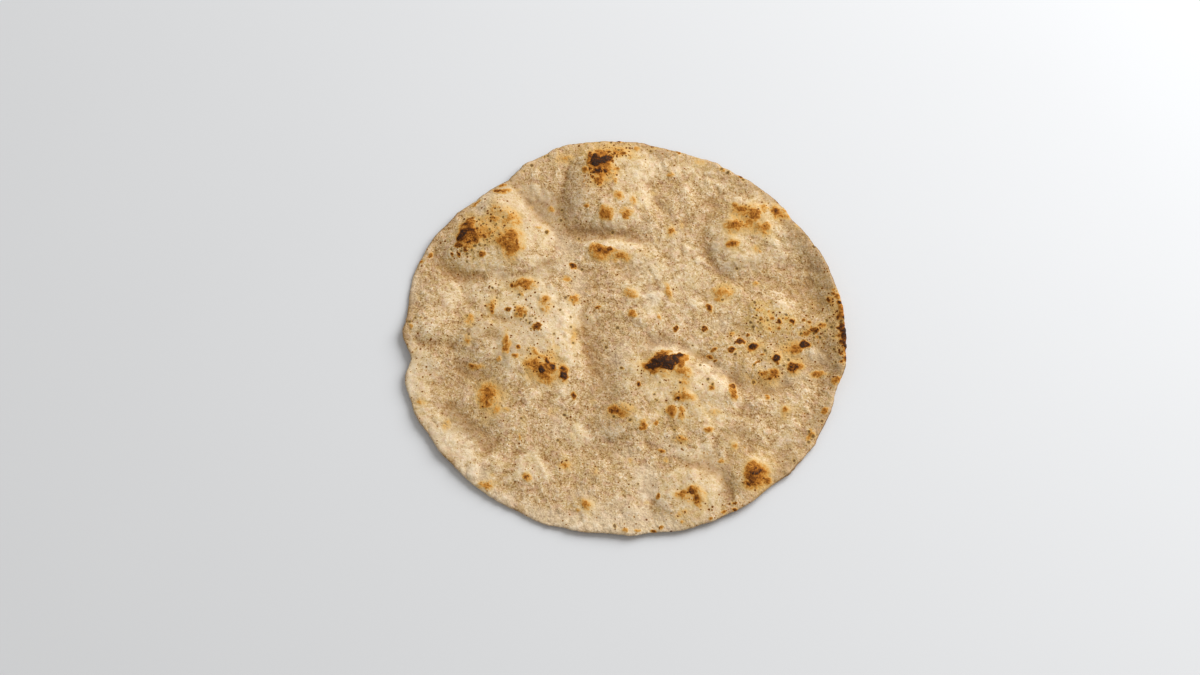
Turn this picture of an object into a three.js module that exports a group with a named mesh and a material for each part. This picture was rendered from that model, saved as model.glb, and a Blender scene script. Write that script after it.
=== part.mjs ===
// A chapati: one round, thin, unleavened flatbread, puffed into blisters where steam lifted its upper face.
// Millimetres, +Z up. The origin is the middle of the bread's box, on the surface that the bread rests on.
// The plan looks straight down: +X runs to the right and +Y away from the viewer.
import * as THREE from "three";

// Driving sizes
const RADIUS = 100.2;
const DOUGH = 2.1; // thickness of the bread where it hasn't puffed
const RIM_DOUGH = 1.5; // thickness just inside the rim
const THINNEST = 1; // thickness that no crease goes below
const RIM_TAPER = 14; // width over which the bread thins towards its rim
const RELIEF_TAPER = 11; // width over which blisters and creases fade towards the rim
const RIM_ROUNDING = 0.7; // how far the upper and lower edges stand in from the rim
const NOSE = 0.45; // height of the rim's outermost line, as a share of its thickness
const UPPER_RINGS = 38; // rings of facet corners out to the rim, each with six more than the last
const LOWER_RINGS = 17;

// The middle of the outline in the plan on which the relief is placed
const MIDDLE = { x: -0.35, y: -1.75 };

// Where the rolled rim strays from a circle: middle and half width in degrees, and how far out it goes
const RIM_STRAYS = [
  { angle: 3, spread: 8, out: -1.4 },
  { angle: 12, spread: 6, out: -0.4 },
  { angle: 27, spread: 8, out: -2.2 },
  { angle: 47, spread: 32, out: -3.2 },
  { angle: 47, spread: 4, out: 0.8 },
  { angle: 72, spread: 8, out: -0.7 },
  { angle: 102, spread: 10, out: 1.6 },
  { angle: 115, spread: 6, out: 1.8 },
  { angle: 126, spread: 4, out: -1.2 },
  { angle: 131, spread: 18, out: -4.2 },
  { angle: 141, spread: 6, out: 1.7 },
  { angle: 163, spread: 9, out: 1.3 },
  { angle: 172, spread: 5, out: -1.8 },
  { angle: 188.5, spread: 4.5, out: -4.2 },
  { angle: 202, spread: 7, out: 0.9 },
  { angle: 211, spread: 34, out: 1.9 },
  { angle: 222, spread: 7, out: -0.6 },
  { angle: 274, spread: 12, out: -0.4 },
  { angle: 292, spread: 20, out: 0.7 },
  { angle: 332, spread: 5, out: 0.9 },
  { angle: 340, spread: 6, out: -1.1 },
  { angle: 349, spread: 6, out: -0.4 },
];

// Lines where puffed bread ends in a steep side: points, and width of that side at the line's two ends.
// The raised bread is on the left of someone who walks along the line. It has a crest behind its side, which
// falls gently away over its own width.
const EDGES = {
  // The long fold, whose side faces right, and the foot of the tall blister beside it
  fold: {
    line: [[-13, -27], [-18.5, -8], [-19, 8], [-18.5, 20], [-24.5, 37], [-36, 53], [-47, 66], [-56, 77]],
    steep: [11, 17],
    crest: 1,
    gentle: 18,
  },
  foot: {
    line: [[-90, 42], [-82, 31], [-72, 25], [-59, 24], [-46, 26], [-36, 31]],
    steep: [10, 8],
    crest: 0.8,
    gentle: 15,
  },
  plateau: {
    line: [[-98, -6], [-91, -10], [-79, -12], [-67, -15], [-61, -25], [-60, -36]],
    steep: [8, 7],
    crest: 0.8,
    gentle: 13,
  },
  // The foot of the blister at the top, and the ledge below it
  arc: {
    line: [[-21, 96], [-27, 80], [-30, 65], [-28, 54], [-18, 48], [-5, 47], [9, 47]],
    steep: [9, 7],
    crest: 1.3,
    gentle: 14,
  },
  ledge: { line: [[14, 38], [4, 43.5], [-8, 46.5], [-24, 44]], steep: [4, 4], crest: 1.2, gentle: 6 },
  // Right side
  corner: {
    line: [[39, 62], [37, 50], [37, 38], [42, 28], [52, 22], [62, 21]],
    steep: [6, 8],
    crest: 0.6,
    gentle: 10,
  },
  brink: { line: [[74, 57], [60, 67], [45, 73]], steep: [5, 5], crest: 0.9, gentle: 8 },
  bowl: { line: [[52, 14], [50, 3], [55, -6], [66, -9]], steep: [8, 8], crest: 0.8, gentle: 11 },
  shoulder: {
    line: [[50, -46], [52, -35], [46, -26], [33, -16], [20, -9], [6, -11]],
    steep: [7, 10],
    crest: 1.2,
    gentle: 14,
  },
  ridge: { line: [[40, -54], [35, -43], [28, -31]], steep: [3, 3], crest: 0.7, gentle: 6 },
  // Lower edge and lower left
  lip: { line: [[46, -87], [43, -77], [35, -70], [24, -68]], steep: [8, 9], crest: 0.6, gentle: 11 },
  heel: { line: [[12.5, -81], [11, -86], [12.5, -93]], steep: [4, 4], crest: 0.4, gentle: 7 },
  trough: { line: [[-83, -35], [-73, -45], [-62, -53], [-53, -60]], steep: [9, 8], crest: 0.6, gentle: 16 },
};

// Blisters, which lift only the upper face: middle, half length and half width, turn in degrees and height.
// A top of 2 is round and one of 4 is flat. A foot of 1 meets the bread abruptly, and one of 2 softly.
const BLISTERS = [
  // Upper left, the tallest, and the low plateau below it
  { x: -59, y: 49, long: 33, wide: 25, turn: 8, high: 3.2, top: 2.6, foot: 1.1, edge: "fold" },
  { x: -50, y: 2, long: 36, wide: 32, turn: 80, high: 2.2, top: 2.6, foot: 1.4, edge: "fold" },
  { x: -46, y: 15, long: 15, wide: 12, turn: 0, high: 1.1, top: 2, foot: 1.3 },
  { x: -42, y: -11, long: 22, wide: 13, turn: -15, high: 1.5, top: 2.4, foot: 1.5 },
  // Top, up to the rim, with a small ridge below it
  { x: -6, y: 74, long: 29, wide: 25, turn: 100, high: 2.8, top: 3, foot: 1.25, edge: "arc" },
  { x: -5, y: 39, long: 19, wide: 10, turn: 5, high: 1.3, top: 2.4, foot: 1.4, edge: "ledge" },
  // Right side
  { x: 58, y: 47, long: 25, wide: 21, turn: 60, high: 2.2, top: 2.8, foot: 1.3, edge: "corner" },
  { x: 68, y: 5, long: 18, wide: 14, turn: -25, high: 1.5, top: 2.4, foot: 1.4, edge: "bowl" },
  // Right of the middle
  { x: 20, y: -36, long: 42, wide: 34, turn: -33, high: 2.2, top: 2.4, foot: 1.9, edge: "shoulder" },
  // Lower edge
  { x: 28, y: -83, long: 20, wide: 17, turn: 60, high: 2.5, top: 2.6, foot: 1.2, edge: "lip" },
  { x: 55, y: -75, long: 14, wide: 12, turn: 20, high: 3.2, top: 2.4, foot: 1.05 },
  { x: -43, y: -73, long: 11, wide: 10, turn: 0, high: 0.9, top: 3, foot: 1.4 },
  { x: -21, y: -56, long: 6, wide: 5, turn: 0, high: 0.9, top: 2, foot: 1.3 },
  // Left edge
  { x: -85, y: 7, long: 19, wide: 15, turn: 80, high: 2, top: 3, foot: 1.3 },
];
const JOIN = 3; // blisters that meet keep a valley between them: they join by this power, not by adding up
const ROUNDING_OFF = 1.7; // 1 gives a steep side an even slope, and more gives it a rounder top

// Small blisters: middle, half width and height of each
const SMALL_BLISTERS = [
  // Upper left
  [-72, 47, 9, 1.2], [-54, 43, 9, 0.9], [-57, 58, 8, 0.8], [-34, 61, 4, 0.5], [-47, 21, 6, 0.7],
  [-37, 10, 6, 0.7], [-51, 7, 6, 0.8], [-60, 10, 5, 0.5], [-25, 13, 5, 0.7], [-71, 2, 5, 0.5],
  [-40, -2, 5, 0.7], [-54, -9, 6, 0.7],
  // Top
  [-12, 87, 8, 1.3], [-3, 92, 6, 0.7], [-9, 60, 6, 0.9], [1, 58, 4, 0.7], [-3, 69, 4, 0.5],
  [-11, 39, 5, 0.5], [22, 49, 5, 0.7], [21, 80, 6, 0.7], [14, 69, 5, 0.5], [28, 66, 8, 0.8],
  [38, 74, 8, 0.7], [8, 62, 7, 0.7],
  // Upper right
  [49, 53, 7, 0.8], [58, 58, 7, 0.8], [66, 51, 5, 0.8], [70, 60, 6, 0.8], [48, 42, 5, 0.7],
  [79, 44, 7, 0.7],
  // Middle
  [3, 16, 5, 0.8], [3, 5, 4, 0.7], [19, 17, 5, 0.8], [12, 12, 6, 0.8], [13, 3, 5, 0.5], [-13, 9, 4, 0.4],
  [27, 30, 7, 0.7], [14, 31, 6, 0.7], [31, 10, 5, 0.5], [44, 16, 6, 1], [38, 8, 4, 0.5], [23, -2, 4, 0.5],
  [15, -20, 8, 1.3], [23, -18, 6, 1], [3, -22, 6, 0.7], [26, -24, 5, 0.7], [25, -36, 6, 0.7],
  [40, -30, 5, 0.7],
  // Right side
  [70, 8, 8, 0.9], [59, 10, 5, 0.5], [57, -11, 6, 0.9], [49, -10, 5, 0.7], [67, -17, 5, 0.9],
  [75, -21, 5, 0.9], [79, -10, 6, 0.9], [65, -25, 6, 0.7], [86, -1, 5, 0.7], [94, 13, 4, 0.5],
  [86, -25, 5, 0.5], [62, -37, 5, 0.8], [70, -42, 6, 0.9], [80, -38, 7, 0.7], [36, -52, 5, 0.7],
  [47, -60, 5, 0.7], [56, -52, 7, 0.7], [70, -55, 7, 0.7],
  // Lower edge
  [29, -82, 6, 0.8], [55, -75, 6, 0.8], [42, -67, 4, 0.5], [14, -83, 6, 0.5], [-18, -88, 6, 0.8],
  [4, -90, 7, 0.7], [2, -76, 7, 0.7], [-14, -73, 5, 0.7], [-27, -69, 5, 0.7], [-3, -43, 6, 1],
  [23, -44, 6, 0.9], [8, -49, 5, 0.8], [22, -57, 5, 0.5], [-30, -83, 8, 0.7],
  // Lower left
  [-37, -22, 7, 1.2], [-28, -25, 4, 0.8], [-50, -15, 5, 0.5], [-67, -21, 6, 0.5], [-61, -35, 7, 0.8],
  [-44, -35, 7, 0.7], [-24, -38, 5, 0.5], [-33, -46, 6, 0.5], [-48, -48, 7, 0.7], [-61, -79, 6, 0.7],
  [-58, -68, 7, 0.7], [-80, -55, 7, 0.7], [-91, -39, 5, 0.7], [-84, -13, 7, 0.5],
];

// Creases and troughs, which sink into the upper face: points, half width and depth
const CREASES = [
  { line: [[-94, 43], [-85, 31], [-74, 24], [-60, 22.5]], wide: 4, deep: 0.5 },
  { line: [[-29, 80], [-32, 65], [-30, 53], [-19, 46], [-5, 45], [8, 45]], wide: 4, deep: 0.7 },
  { line: [[-84, -37], [-74, -47], [-63, -55], [-54, -62]], wide: 8, deep: 0.9 },
  { line: [[-84, -22], [-72, -30], [-62, -42]], wide: 10, deep: 0.9 },
  { line: [[11, 80], [13, 70], [18, 59], [24, 50]], wide: 4, deep: 0.8 },
  { line: [[46, -19], [55, -27], [64, -30], [74, -28]], wide: 5.5, deep: 1.5 },
  { line: [[4, -54], [9, -59], [15, -63]], wide: 2.6, deep: 0.6 },
  { line: [[-101, -7], [-92, -10], [-81, -8]], wide: 3.2, deep: 0.8 },
  { line: [[-66, 6], [-58, 1.5], [-48, 0], [-38, -3]], wide: 2.6, deep: 0.6 },
  { line: [[-55, 80], [-46, 67], [-35, 54], [-26, 41]], wide: 6, deep: 0.9 },
  { line: [[-15, 10], [-15, -7], [-10, -27]], wide: 7, deep: 0.8 },
  { line: [[-12, -14], [-9, -30], [-6, -42], [-2, -55]], wide: 8, deep: 1.2 },
];

// Where the whole bread lifts off what it lies on: in degrees round the rim and millimetres in from it
const RIM_LIFTS = [
  { angle: 20, spread: 28, reach: 32, high: 3.6 },
  { angle: 6, spread: 30, reach: 12, high: 3.6 },
  { angle: 60, spread: 16, reach: 20, high: 1.6 },
  { angle: 98, spread: 22, reach: 26, high: 2.2 },
  { angle: 138, spread: 22, reach: 30, high: 2.6 },
  { angle: 186, spread: 12, reach: 18, high: 1.8 },
  { angle: 215, spread: 26, reach: 26, high: 2.2 },
  { angle: 262, spread: 18, reach: 18, high: 1.4 },
  { angle: 300, spread: 26, reach: 24, high: 2.4 },
  { angle: 345, spread: 15, reach: 16, high: 1.8 },
];

// Seeded unevenness: how many bumps, their sizes, their lowest and highest height, and how far out they lie
const DOUGH_BUMPS = { seed: 7, count: 420, small: 4, large: 11, low: -0.5, high: 0.72, reach: 97 };
const LOWER_HOLLOWS = { seed: 31, count: 110, small: 10, large: 24, low: -1.4, high: 2, reach: 96 };
const RESTING_DEPTH = 0.15; // waves of the lower face that reach less high than this are pressed flat
const RESTING_PATCH = 20; // radius round the middle where the lower face is flat
const RIM_RIPPLES = { seed: 19, waves: 9, fewest: 9, most: 44, high: 0.32 };

const { clamp, degToRad, lerp, radToDeg } = THREE.MathUtils;

const bell = (distance) => Math.exp(-distance * distance);

function rise(from, to, value) {
  const share = clamp((value - from) / (to - from), 0, 1);
  return share * share * (3 - 2 * share);
}

// A repeatable random draw between 0 and 1
function drawFrom(seed) {
  let state = seed;
  return () => {
    state = (state * 1664525 + 1013904223) % 2 ** 32;
    return state / 2 ** 32;
  };
}

// Degrees from one direction to another, the short way round
function turnBetween(a, b) {
  return Math.abs(((((a - b) % 360) + 540) % 360) - 180);
}

// Fine waves of the rim, each with its own count round the bread and its own start
function ripplesOf({ seed, waves, fewest, most, high }) {
  const draw = drawFrom(seed);
  const parts = [];
  for (let i = 0; i < waves; i++) {
    const count = Math.round(lerp(fewest, most, draw()));
    parts.push({ count, start: 360 * draw(), high: high * lerp(0.4, 1, draw()) });
  }
  return parts;
}
const ripples = ripplesOf(RIM_RIPPLES);

function rimRadius(angle) {
  let radius = RADIUS;
  for (const { angle: middle, spread, out } of RIM_STRAYS) {
    radius += out * bell(turnBetween(angle, middle) / spread);
  }
  for (const { count, start, high } of ripples) {
    radius += high * Math.sin(degToRad(count * angle + start));
  }
  return radius;
}

// Direction in degrees of a place in the plan, seen from the middle, and how far in from the rim it is
function polar(x, y) {
  const dx = x - MIDDLE.x;
  const dy = y - MIDDLE.y;
  const angle = (radToDeg(Math.atan2(dy, dx)) + 360) % 360;
  return { angle, inset: rimRadius(angle) - Math.hypot(dx, dy) };
}

// A line through hand-placed points, as short steps with their directions
function tracedLine(points) {
  const curve = new THREE.CatmullRomCurve3(points.map(([x, y]) => new THREE.Vector3(x, y, 0)));
  const steps = Math.ceil(curve.getLength() / 1.5);
  const places = curve.getSpacedPoints(steps);
  return places.map((place, i) => {
    const ahead = places[Math.min(i + 1, steps)];
    const behind = places[Math.max(i - 1, 0)];
    return { x: place.x, y: place.y, share: i / steps, dx: ahead.x - behind.x, dy: ahead.y - behind.y };
  });
}
for (const edge of Object.values(EDGES)) edge.traced = tracedLine(edge.line);
for (const crease of CREASES) crease.traced = tracedLine(crease.line);

// Distance from a traced line, positive on its left, with the share of the line that is passed there
function offLine(x, y, traced) {
  let best = Infinity;
  let nearest = traced[0];
  for (const step of traced) {
    const distance = Math.hypot(x - step.x, y - step.y);
    if (distance < best) {
      best = distance;
      nearest = step;
    }
  }
  const left = nearest.dx * (y - nearest.y) - nearest.dy * (x - nearest.x);
  return { off: left < 0 ? -best : best, share: nearest.share };
}

// Crests and creases fade in and out over the first and last sixth of their line
const endFade = (share) => rise(0, 1 / 6, share) * rise(0, 1 / 6, 1 - share);

// How much of the height beside an edge is reached: none at its foot and all of it past its steep side.
// The side starts abruptly and rounds off towards its top.
function climb(off, width) {
  return 1 - (1 - clamp(off / width, 0, 1)) ** ROUNDING_OFF;
}

function crestHeight(x, y, { traced, steep, crest, gentle }) {
  const { off, share } = offLine(x, y, traced);
  const width = lerp(...steep, share);
  return crest * endFade(share) * climb(off, width) * bell(Math.max(0, off - width) / gentle);
}

function creaseDepth(x, y, { traced, wide, deep }) {
  const { off, share } = offLine(x, y, traced);
  return deep * lerp(0.25, 1, endFade(share)) * bell(off / wide);
}

function blisterHeight(x, y, { x: bx, y: by, long, wide, turn, high, top, foot, edge }) {
  const angle = degToRad(turn);
  const along = ((x - bx) * Math.cos(angle) + (y - by) * Math.sin(angle)) / long;
  const across = ((y - by) * Math.cos(angle) - (x - bx) * Math.sin(angle)) / wide;
  const inside = 1 - Math.hypot(along, across) ** top;
  if (inside <= 0) return 0;
  const height = high * inside ** foot;
  if (!edge) return height;
  const { off, share } = offLine(x, y, EDGES[edge].traced);
  return height * climb(off, lerp(...EDGES[edge].steep, share));
}

// Bumps and hollows spread evenly over the plan by a seeded draw
function bumpsOf({ seed, count, small, large, low, high, reach }) {
  const draw = drawFrom(seed);
  const bumps = [];
  for (let i = 0; i < count; i++) {
    const angle = 2 * Math.PI * draw();
    const out = reach * Math.sqrt(draw());
    const size = lerp(small, large, draw() ** 2);
    const up = lerp(low, high, draw()) * Math.sqrt(small / size);
    bumps.push({ x: MIDDLE.x + out * Math.cos(angle), y: MIDDLE.y + out * Math.sin(angle), size, up });
  }
  return bumps;
}
const doughBumps = bumpsOf(DOUGH_BUMPS);
const lowerHollows = bumpsOf(LOWER_HOLLOWS);

function bumpHeight(x, y, bumps) {
  let height = 0;
  for (const { x: bx, y: by, size, up } of bumps) {
    const distance = Math.hypot(x - bx, y - by) / size;
    if (distance < 2) height += up * bell(1.4 * distance);
  }
  return height;
}

// Height of the lower face: zero where the bread rests, and smoothly up from there
function lowerHeight(x, y) {
  const { angle, inset } = polar(x, y);
  const fromPatch = rise(RESTING_PATCH, 2 * RESTING_PATCH, Math.hypot(x - MIDDLE.x, y - MIDDLE.y));
  let lift = bumpHeight(x, y, lowerHollows) * fromPatch - RESTING_DEPTH;
  for (const { angle: middle, spread, reach, high } of RIM_LIFTS) {
    lift += high * bell(turnBetween(angle, middle) / spread) * rise(reach, 0, inset) ** 1.5;
  }
  return lift > 0 ? lift ** 2 / (lift + 0.5) : 0;
}

function thickness(x, y) {
  const { inset } = polar(x, y);
  let puffed = 0;
  for (const blister of BLISTERS) puffed += blisterHeight(x, y, blister) ** JOIN;
  let relief = puffed ** (1 / JOIN);
  for (const edge of Object.values(EDGES)) relief += crestHeight(x, y, edge);
  for (const [bx, by, wide, high] of SMALL_BLISTERS) {
    relief += high * bell((1.5 * Math.hypot(x - bx, y - by)) / wide);
  }
  for (const crease of CREASES) relief -= creaseDepth(x, y, crease);
  relief += bumpHeight(x, y, doughBumps);
  const dough = lerp(RIM_DOUGH, DOUGH, rise(0, RIM_TAPER, inset));
  return Math.max(THINNEST, dough + relief * rise(-1, RELIEF_TAPER, inset));
}

// One ring of corners: a share of the way to the rim, less an inset, at the height that heightAt gives
function ringOf(corners, share, inset, heightAt) {
  const ring = [];
  for (let i = 0; i < corners; i++) {
    const angle = (360 * i) / corners;
    const out = share * (rimRadius(angle) - inset);
    const x = MIDDLE.x + out * Math.cos(degToRad(angle));
    const y = MIDDLE.y + out * Math.sin(degToRad(angle));
    ring.push([x, y, heightAt(x, y)]);
  }
  return ring;
}

// All rings in order: from the middle of the upper face to the rim, round it, and back along the lower face
function ringsOf() {
  const upper = (x, y) => lowerHeight(x, y) + thickness(x, y);
  const nose = (x, y) => lowerHeight(x, y) + NOSE * thickness(x, y);
  const rings = [];
  for (let k = 0; k <= UPPER_RINGS; k++) {
    rings.push(ringOf(Math.max(1, 6 * k), k / UPPER_RINGS, RIM_ROUNDING, upper));
  }
  rings.push(ringOf(6 * UPPER_RINGS, 1, 0, nose));
  rings.push(ringOf(6 * UPPER_RINGS, 1, RIM_ROUNDING, lowerHeight));
  for (let k = LOWER_RINGS - 1; k >= 0; k--) {
    rings.push(ringOf(Math.max(1, 6 * k), k / LOWER_RINGS, RIM_ROUNDING, lowerHeight));
  }
  return rings;
}

// Facets between two neighbouring rings, which may differ in their numbers of corners. It walks both rings
// and always steps along the one that is less far round, so the facets stay even.
function stitch(inner, innerStart, outer, outerStart, facets) {
  const innerSteps = inner.length === 1 ? 0 : inner.length;
  let i = 0;
  let j = 0;
  while (i < innerSteps || j < outer.length) {
    const outerIsBehind = (j + 0.5) / outer.length <= (i + 0.5) / innerSteps;
    const a = innerStart + (i % inner.length);
    const b = outerStart + (j % outer.length);
    if (i === innerSteps || (j < outer.length && outerIsBehind)) {
      facets.push([a, b, outerStart + ((j + 1) % outer.length)]);
      j += 1;
    } else {
      facets.push([a, b, innerStart + ((i + 1) % inner.length)]);
      i += 1;
    }
  }
}

function breadGeometry() {
  const rings = ringsOf();
  const starts = [];
  let corners = 0;
  for (const ring of rings) {
    starts.push(corners);
    corners += ring.length;
  }
  const facets = [];
  for (let k = 0; k + 1 < rings.length; k++) {
    if (rings[k].length <= rings[k + 1].length) {
      stitch(rings[k], starts[k], rings[k + 1], starts[k + 1], facets);
    } else {
      const facingIn = [];
      stitch(rings[k + 1], starts[k + 1], rings[k], starts[k], facingIn);
      for (const [a, b, c] of facingIn) facets.push([a, c, b]);
    }
  }
  const geometry = new THREE.BufferGeometry();
  geometry.setAttribute("position", new THREE.Float32BufferAttribute(rings.flat(2), 3));
  geometry.setIndex(facets.flat());
  geometry.computeBoundingBox();
  const centre = geometry.boundingBox.getCenter(new THREE.Vector3());
  geometry.translate(-centre.x, -centre.y, -geometry.boundingBox.min.z);
  geometry.computeVertexNormals();
  return geometry;
}

const chapati = new THREE.Mesh(
  breadGeometry(),
  new THREE.MeshStandardMaterial({ color: 0xd6b78e, roughness: 0.85, metalness: 0 }),
);
chapati.name = "chapati";

const part = new THREE.Group();
part.add(chapati);

export default part;
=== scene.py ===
"""A chapati, a round unleavened flatbread, with its browned crust, on a plain pale floor."""

import math

import bpy
import numpy as np
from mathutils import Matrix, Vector


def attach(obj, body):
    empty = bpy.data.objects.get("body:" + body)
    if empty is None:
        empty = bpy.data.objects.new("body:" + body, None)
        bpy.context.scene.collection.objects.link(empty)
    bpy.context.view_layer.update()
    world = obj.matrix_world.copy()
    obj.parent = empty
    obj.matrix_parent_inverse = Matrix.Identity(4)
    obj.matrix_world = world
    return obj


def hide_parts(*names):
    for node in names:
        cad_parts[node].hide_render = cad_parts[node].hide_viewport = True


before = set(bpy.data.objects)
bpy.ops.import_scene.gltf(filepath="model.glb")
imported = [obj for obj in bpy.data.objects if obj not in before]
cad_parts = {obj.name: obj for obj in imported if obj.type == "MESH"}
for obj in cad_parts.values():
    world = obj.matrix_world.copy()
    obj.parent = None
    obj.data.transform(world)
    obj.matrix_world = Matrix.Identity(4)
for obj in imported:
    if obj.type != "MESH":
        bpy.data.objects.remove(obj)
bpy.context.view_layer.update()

MM = 0.001

# Camera, lamp and sky, in mm and degrees
FOCAL_LENGTH = 60
SENSOR_WIDTH = 36
CAMERA_AIM = (-10.51, -3.29, 0)
CAMERA_DISTANCE = 905
CAMERA_ELEVATION = 62.5
KEY_AZIMUTH = 36
KEY_ELEVATION = 36
KEY_DISTANCE = 1600
KEY_SIZE = 1300
KEY_POWER = 30.2
KEY_COLOUR = (1.0, 1.0, 0.99)
SKY_COLOUR = (1.0, 0.975, 0.93)
SKY_STRENGTH = 0.44

# Floor: its colour on a screen and its brightness in its clouds, whose size and its own are in mm
FLOOR_COLOUR = (222, 224, 228)
FLOOR_SHADE = 0.97
FLOOR_CLOUDS = 180
FLOOR_SIZE = 40000

# The solid's facets are split in four, again where they face up more than COARSE_BELOW, and a third time where the
# browning changes by FINE_CHANGE or a dot's edge is less than FINE_DOT mm away
COARSE_BELOW = -0.3
FINE_CHANGE = 0.2
FINE_DOT = 0.4
# How far normals point up where the upper face begins and is full, and where the rim's side begins and is full
UPPER = (-0.25, 0.35)
SIDE = (0.96, 0.75)
# The upper face's marks are drawn where it counts for more than this, the lower face's where for less
UPPER_SHARE = 0.02
LOWER_SHARE = 0.3
# How far in from the outline the rim reaches, in mm, and in how many sectors the outline is found
RIM_REACH = 7
RIM_SECTORS = 360

# Unevenness: the size of lumps and how high they are, in mm, and the seed of their draw
LUMPS = ((7.0, 0.18, 11), (4.2, 0.10, 12))
# Puffy pebbles with sharp valleys between them
PEBBLES = ((3.6, 0.34, 13), (2.1, 0.20, 14))
# Lumps of the rim's side, and hollows of the lower face
RIM_LUMPS = ((4.2, 0.16, 21), (1.9, 0.10, 22))
LOWER_LUMPS = ((8.0, 0.10, 31), (3.0, 0.08, 32))
# How far from the middle there are lumps, in mm
LUMPS_REACH = 170
# What is charred and what is toasted: the browning where it begins and is full, its rise in mm, and its wrinkles
WRINKLES = ((0.7, 0.95, 0.3, (1.3, 0.16, 16)), (0.25, 0.55, 0, (1.6, 0.08, 17)))
# Small blisters all over: the range of their radii in mm, of how much longer than wide they are, and of their height
# per radius. A range of sizes ends with how strongly small ones prevail.
SCATTERED = {"count": 620, "seed": 61, "radii": (1.1, 3.6, 1.5), "longer": (0.7, 1.3), "high": (0.06, 0.18)}
# The blister under a browned mark: its size per mark, its height per size, how steep it is, and the most in mm
MARK_RISE = {"wider": 1.45, "high": 0.085, "steep": 1.5, "most": 0.4}
# How often heights are averaged with their neighbours' to tell dips and wide hollows, where shade is painted, and
# their full depth in mm
DIPS = {"dip": (60, 0.5), "hollow": (700, 1.6)}

# Crisp creases: how deep and how wide, and the points of the line, in mm
CREASES = (
    (0.5, 2.4, (-12, -28), (-18.5, -8), (-19, 10)),
    (0.6, 2, (-25, 38), (-36, 53), (-47, 66), (-57, 79)),
    (0.35, 2.4, (-91, 43), (-82, 31), (-72, 25), (-59, 24), (-46, 26), (-35, 31)),
    (0.35, 2, (-101, -6), (-91, -10), (-79, -12), (-67, -15)),
    (0.45, 4, (-83, -35), (-73, -45), (-62, -53), (-53, -60)),
    (0.4, 2.6, (-21, 98), (-27, 80), (-30, 65), (-28, 54), (-18, 48), (-5, 47), (10, 47)),
    (0.4, 1.8, (11, 71), (15, 65), (19, 58)),
    (0.4, 2, (39, 62), (37, 50), (37, 38), (42, 28), (52, 22)),
    (0.6, 2.2, (48, -20), (56, -27), (64, -30), (75, -28)),
    (0.6, 2.4, (50, -48), (52, -35), (46, -26), (33, -16), (20, -9), (5, -11)),
    (0.4, 1.8, (40, -54), (35, -43), (28, -31)),
    (0.5, 1.6, (4, -54), (9, -59), (15, -63)),
    (0.5, 2.2, (46, -87), (43, -77), (35, -70), (25, -69)),
    (0.4, 1.6, (12.5, -81), (11.4, -86), (13, -92)),
)
# Steps along a crease in mm, how many widths it reaches to its sides, and over how many steps its ends fade
CREASE_STEP = 1.0
CREASE_REACH = 4
CREASE_FADE = 8

# The marks are measured where the camera sees them on a plane of this height, from a point beside the middle, in mm
MIDDLE = (-1.29, -1.81)
PLANE_HEIGHT = 2.5
# Their outlines wander by a share of their size, by lumps in mm of the next size with each WANDER_STEP of it
WANDER = 0.2
WANDER_CELLS = (1.4, 2.8, 5.6)
WANDER_STEP = 4.5
DOT_WANDER = 0.15
UPPER_SEED = 101
LOWER_SEED = 201
# How far round a mark its edge is looked for, in mm, the most of its width that the edge takes up, and its growth
MARK_MARGIN = 4
EDGE_SHARE = 0.8
MARK_GROWTH = 1.08
# Kinds of marks, from charred to faint: how far they are browned, from 0 to 1, and how wide their edge is in mm
KINDS = ((0.94, 1.5), (0.77, 1.2), (0.56, 2.3), (0.38, 4.0), (0.24, 5.0), (0.18, 2.6))

# Marks of the upper face: x, y, width and height, and a turn in degrees where they have one. The long strips along
# the right rim, near x 99, are browning with painted shade.
CHARRED = (
    (-75.6, 47, 4, 7, -25), (-13.7, 88.2, 4.8, 7.6, -8), (-9.6, 88.9, 7, 3.8, 18), (-13, 82, 4.4, 3.2, -10),
    (-37.8, -22.6, 3.4, 4.6, 15), (-35.4, -18.4, 1.8, 3.8, 35), (-33.2, -21.4, 2.4, 2.8), (-28, -26, 3.2, 5.4, 5),
    (14.6, -19.2, 10, 5.6, 14), (18.6, -20.2, 5, 5.6, -35), (23.4, -15.9, 6.4, 2.6, 12), (20.6, -18, 6, 4, 20),
    (10.6, -21, 3.4, 3.6), (57, -11.5, 5.4, 3.4, 5), (67.2, -16.8, 3.4, 3, 10), (80.9, -10, 4.6, 3.8, 15),
    (97.2, 11.3, 2.8, 1.9, -20), (99, -5, 2.6, 8), (98.8, -11.6, 2.4, 5), (98.8, 3.2, 2, 3.4),
)
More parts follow.
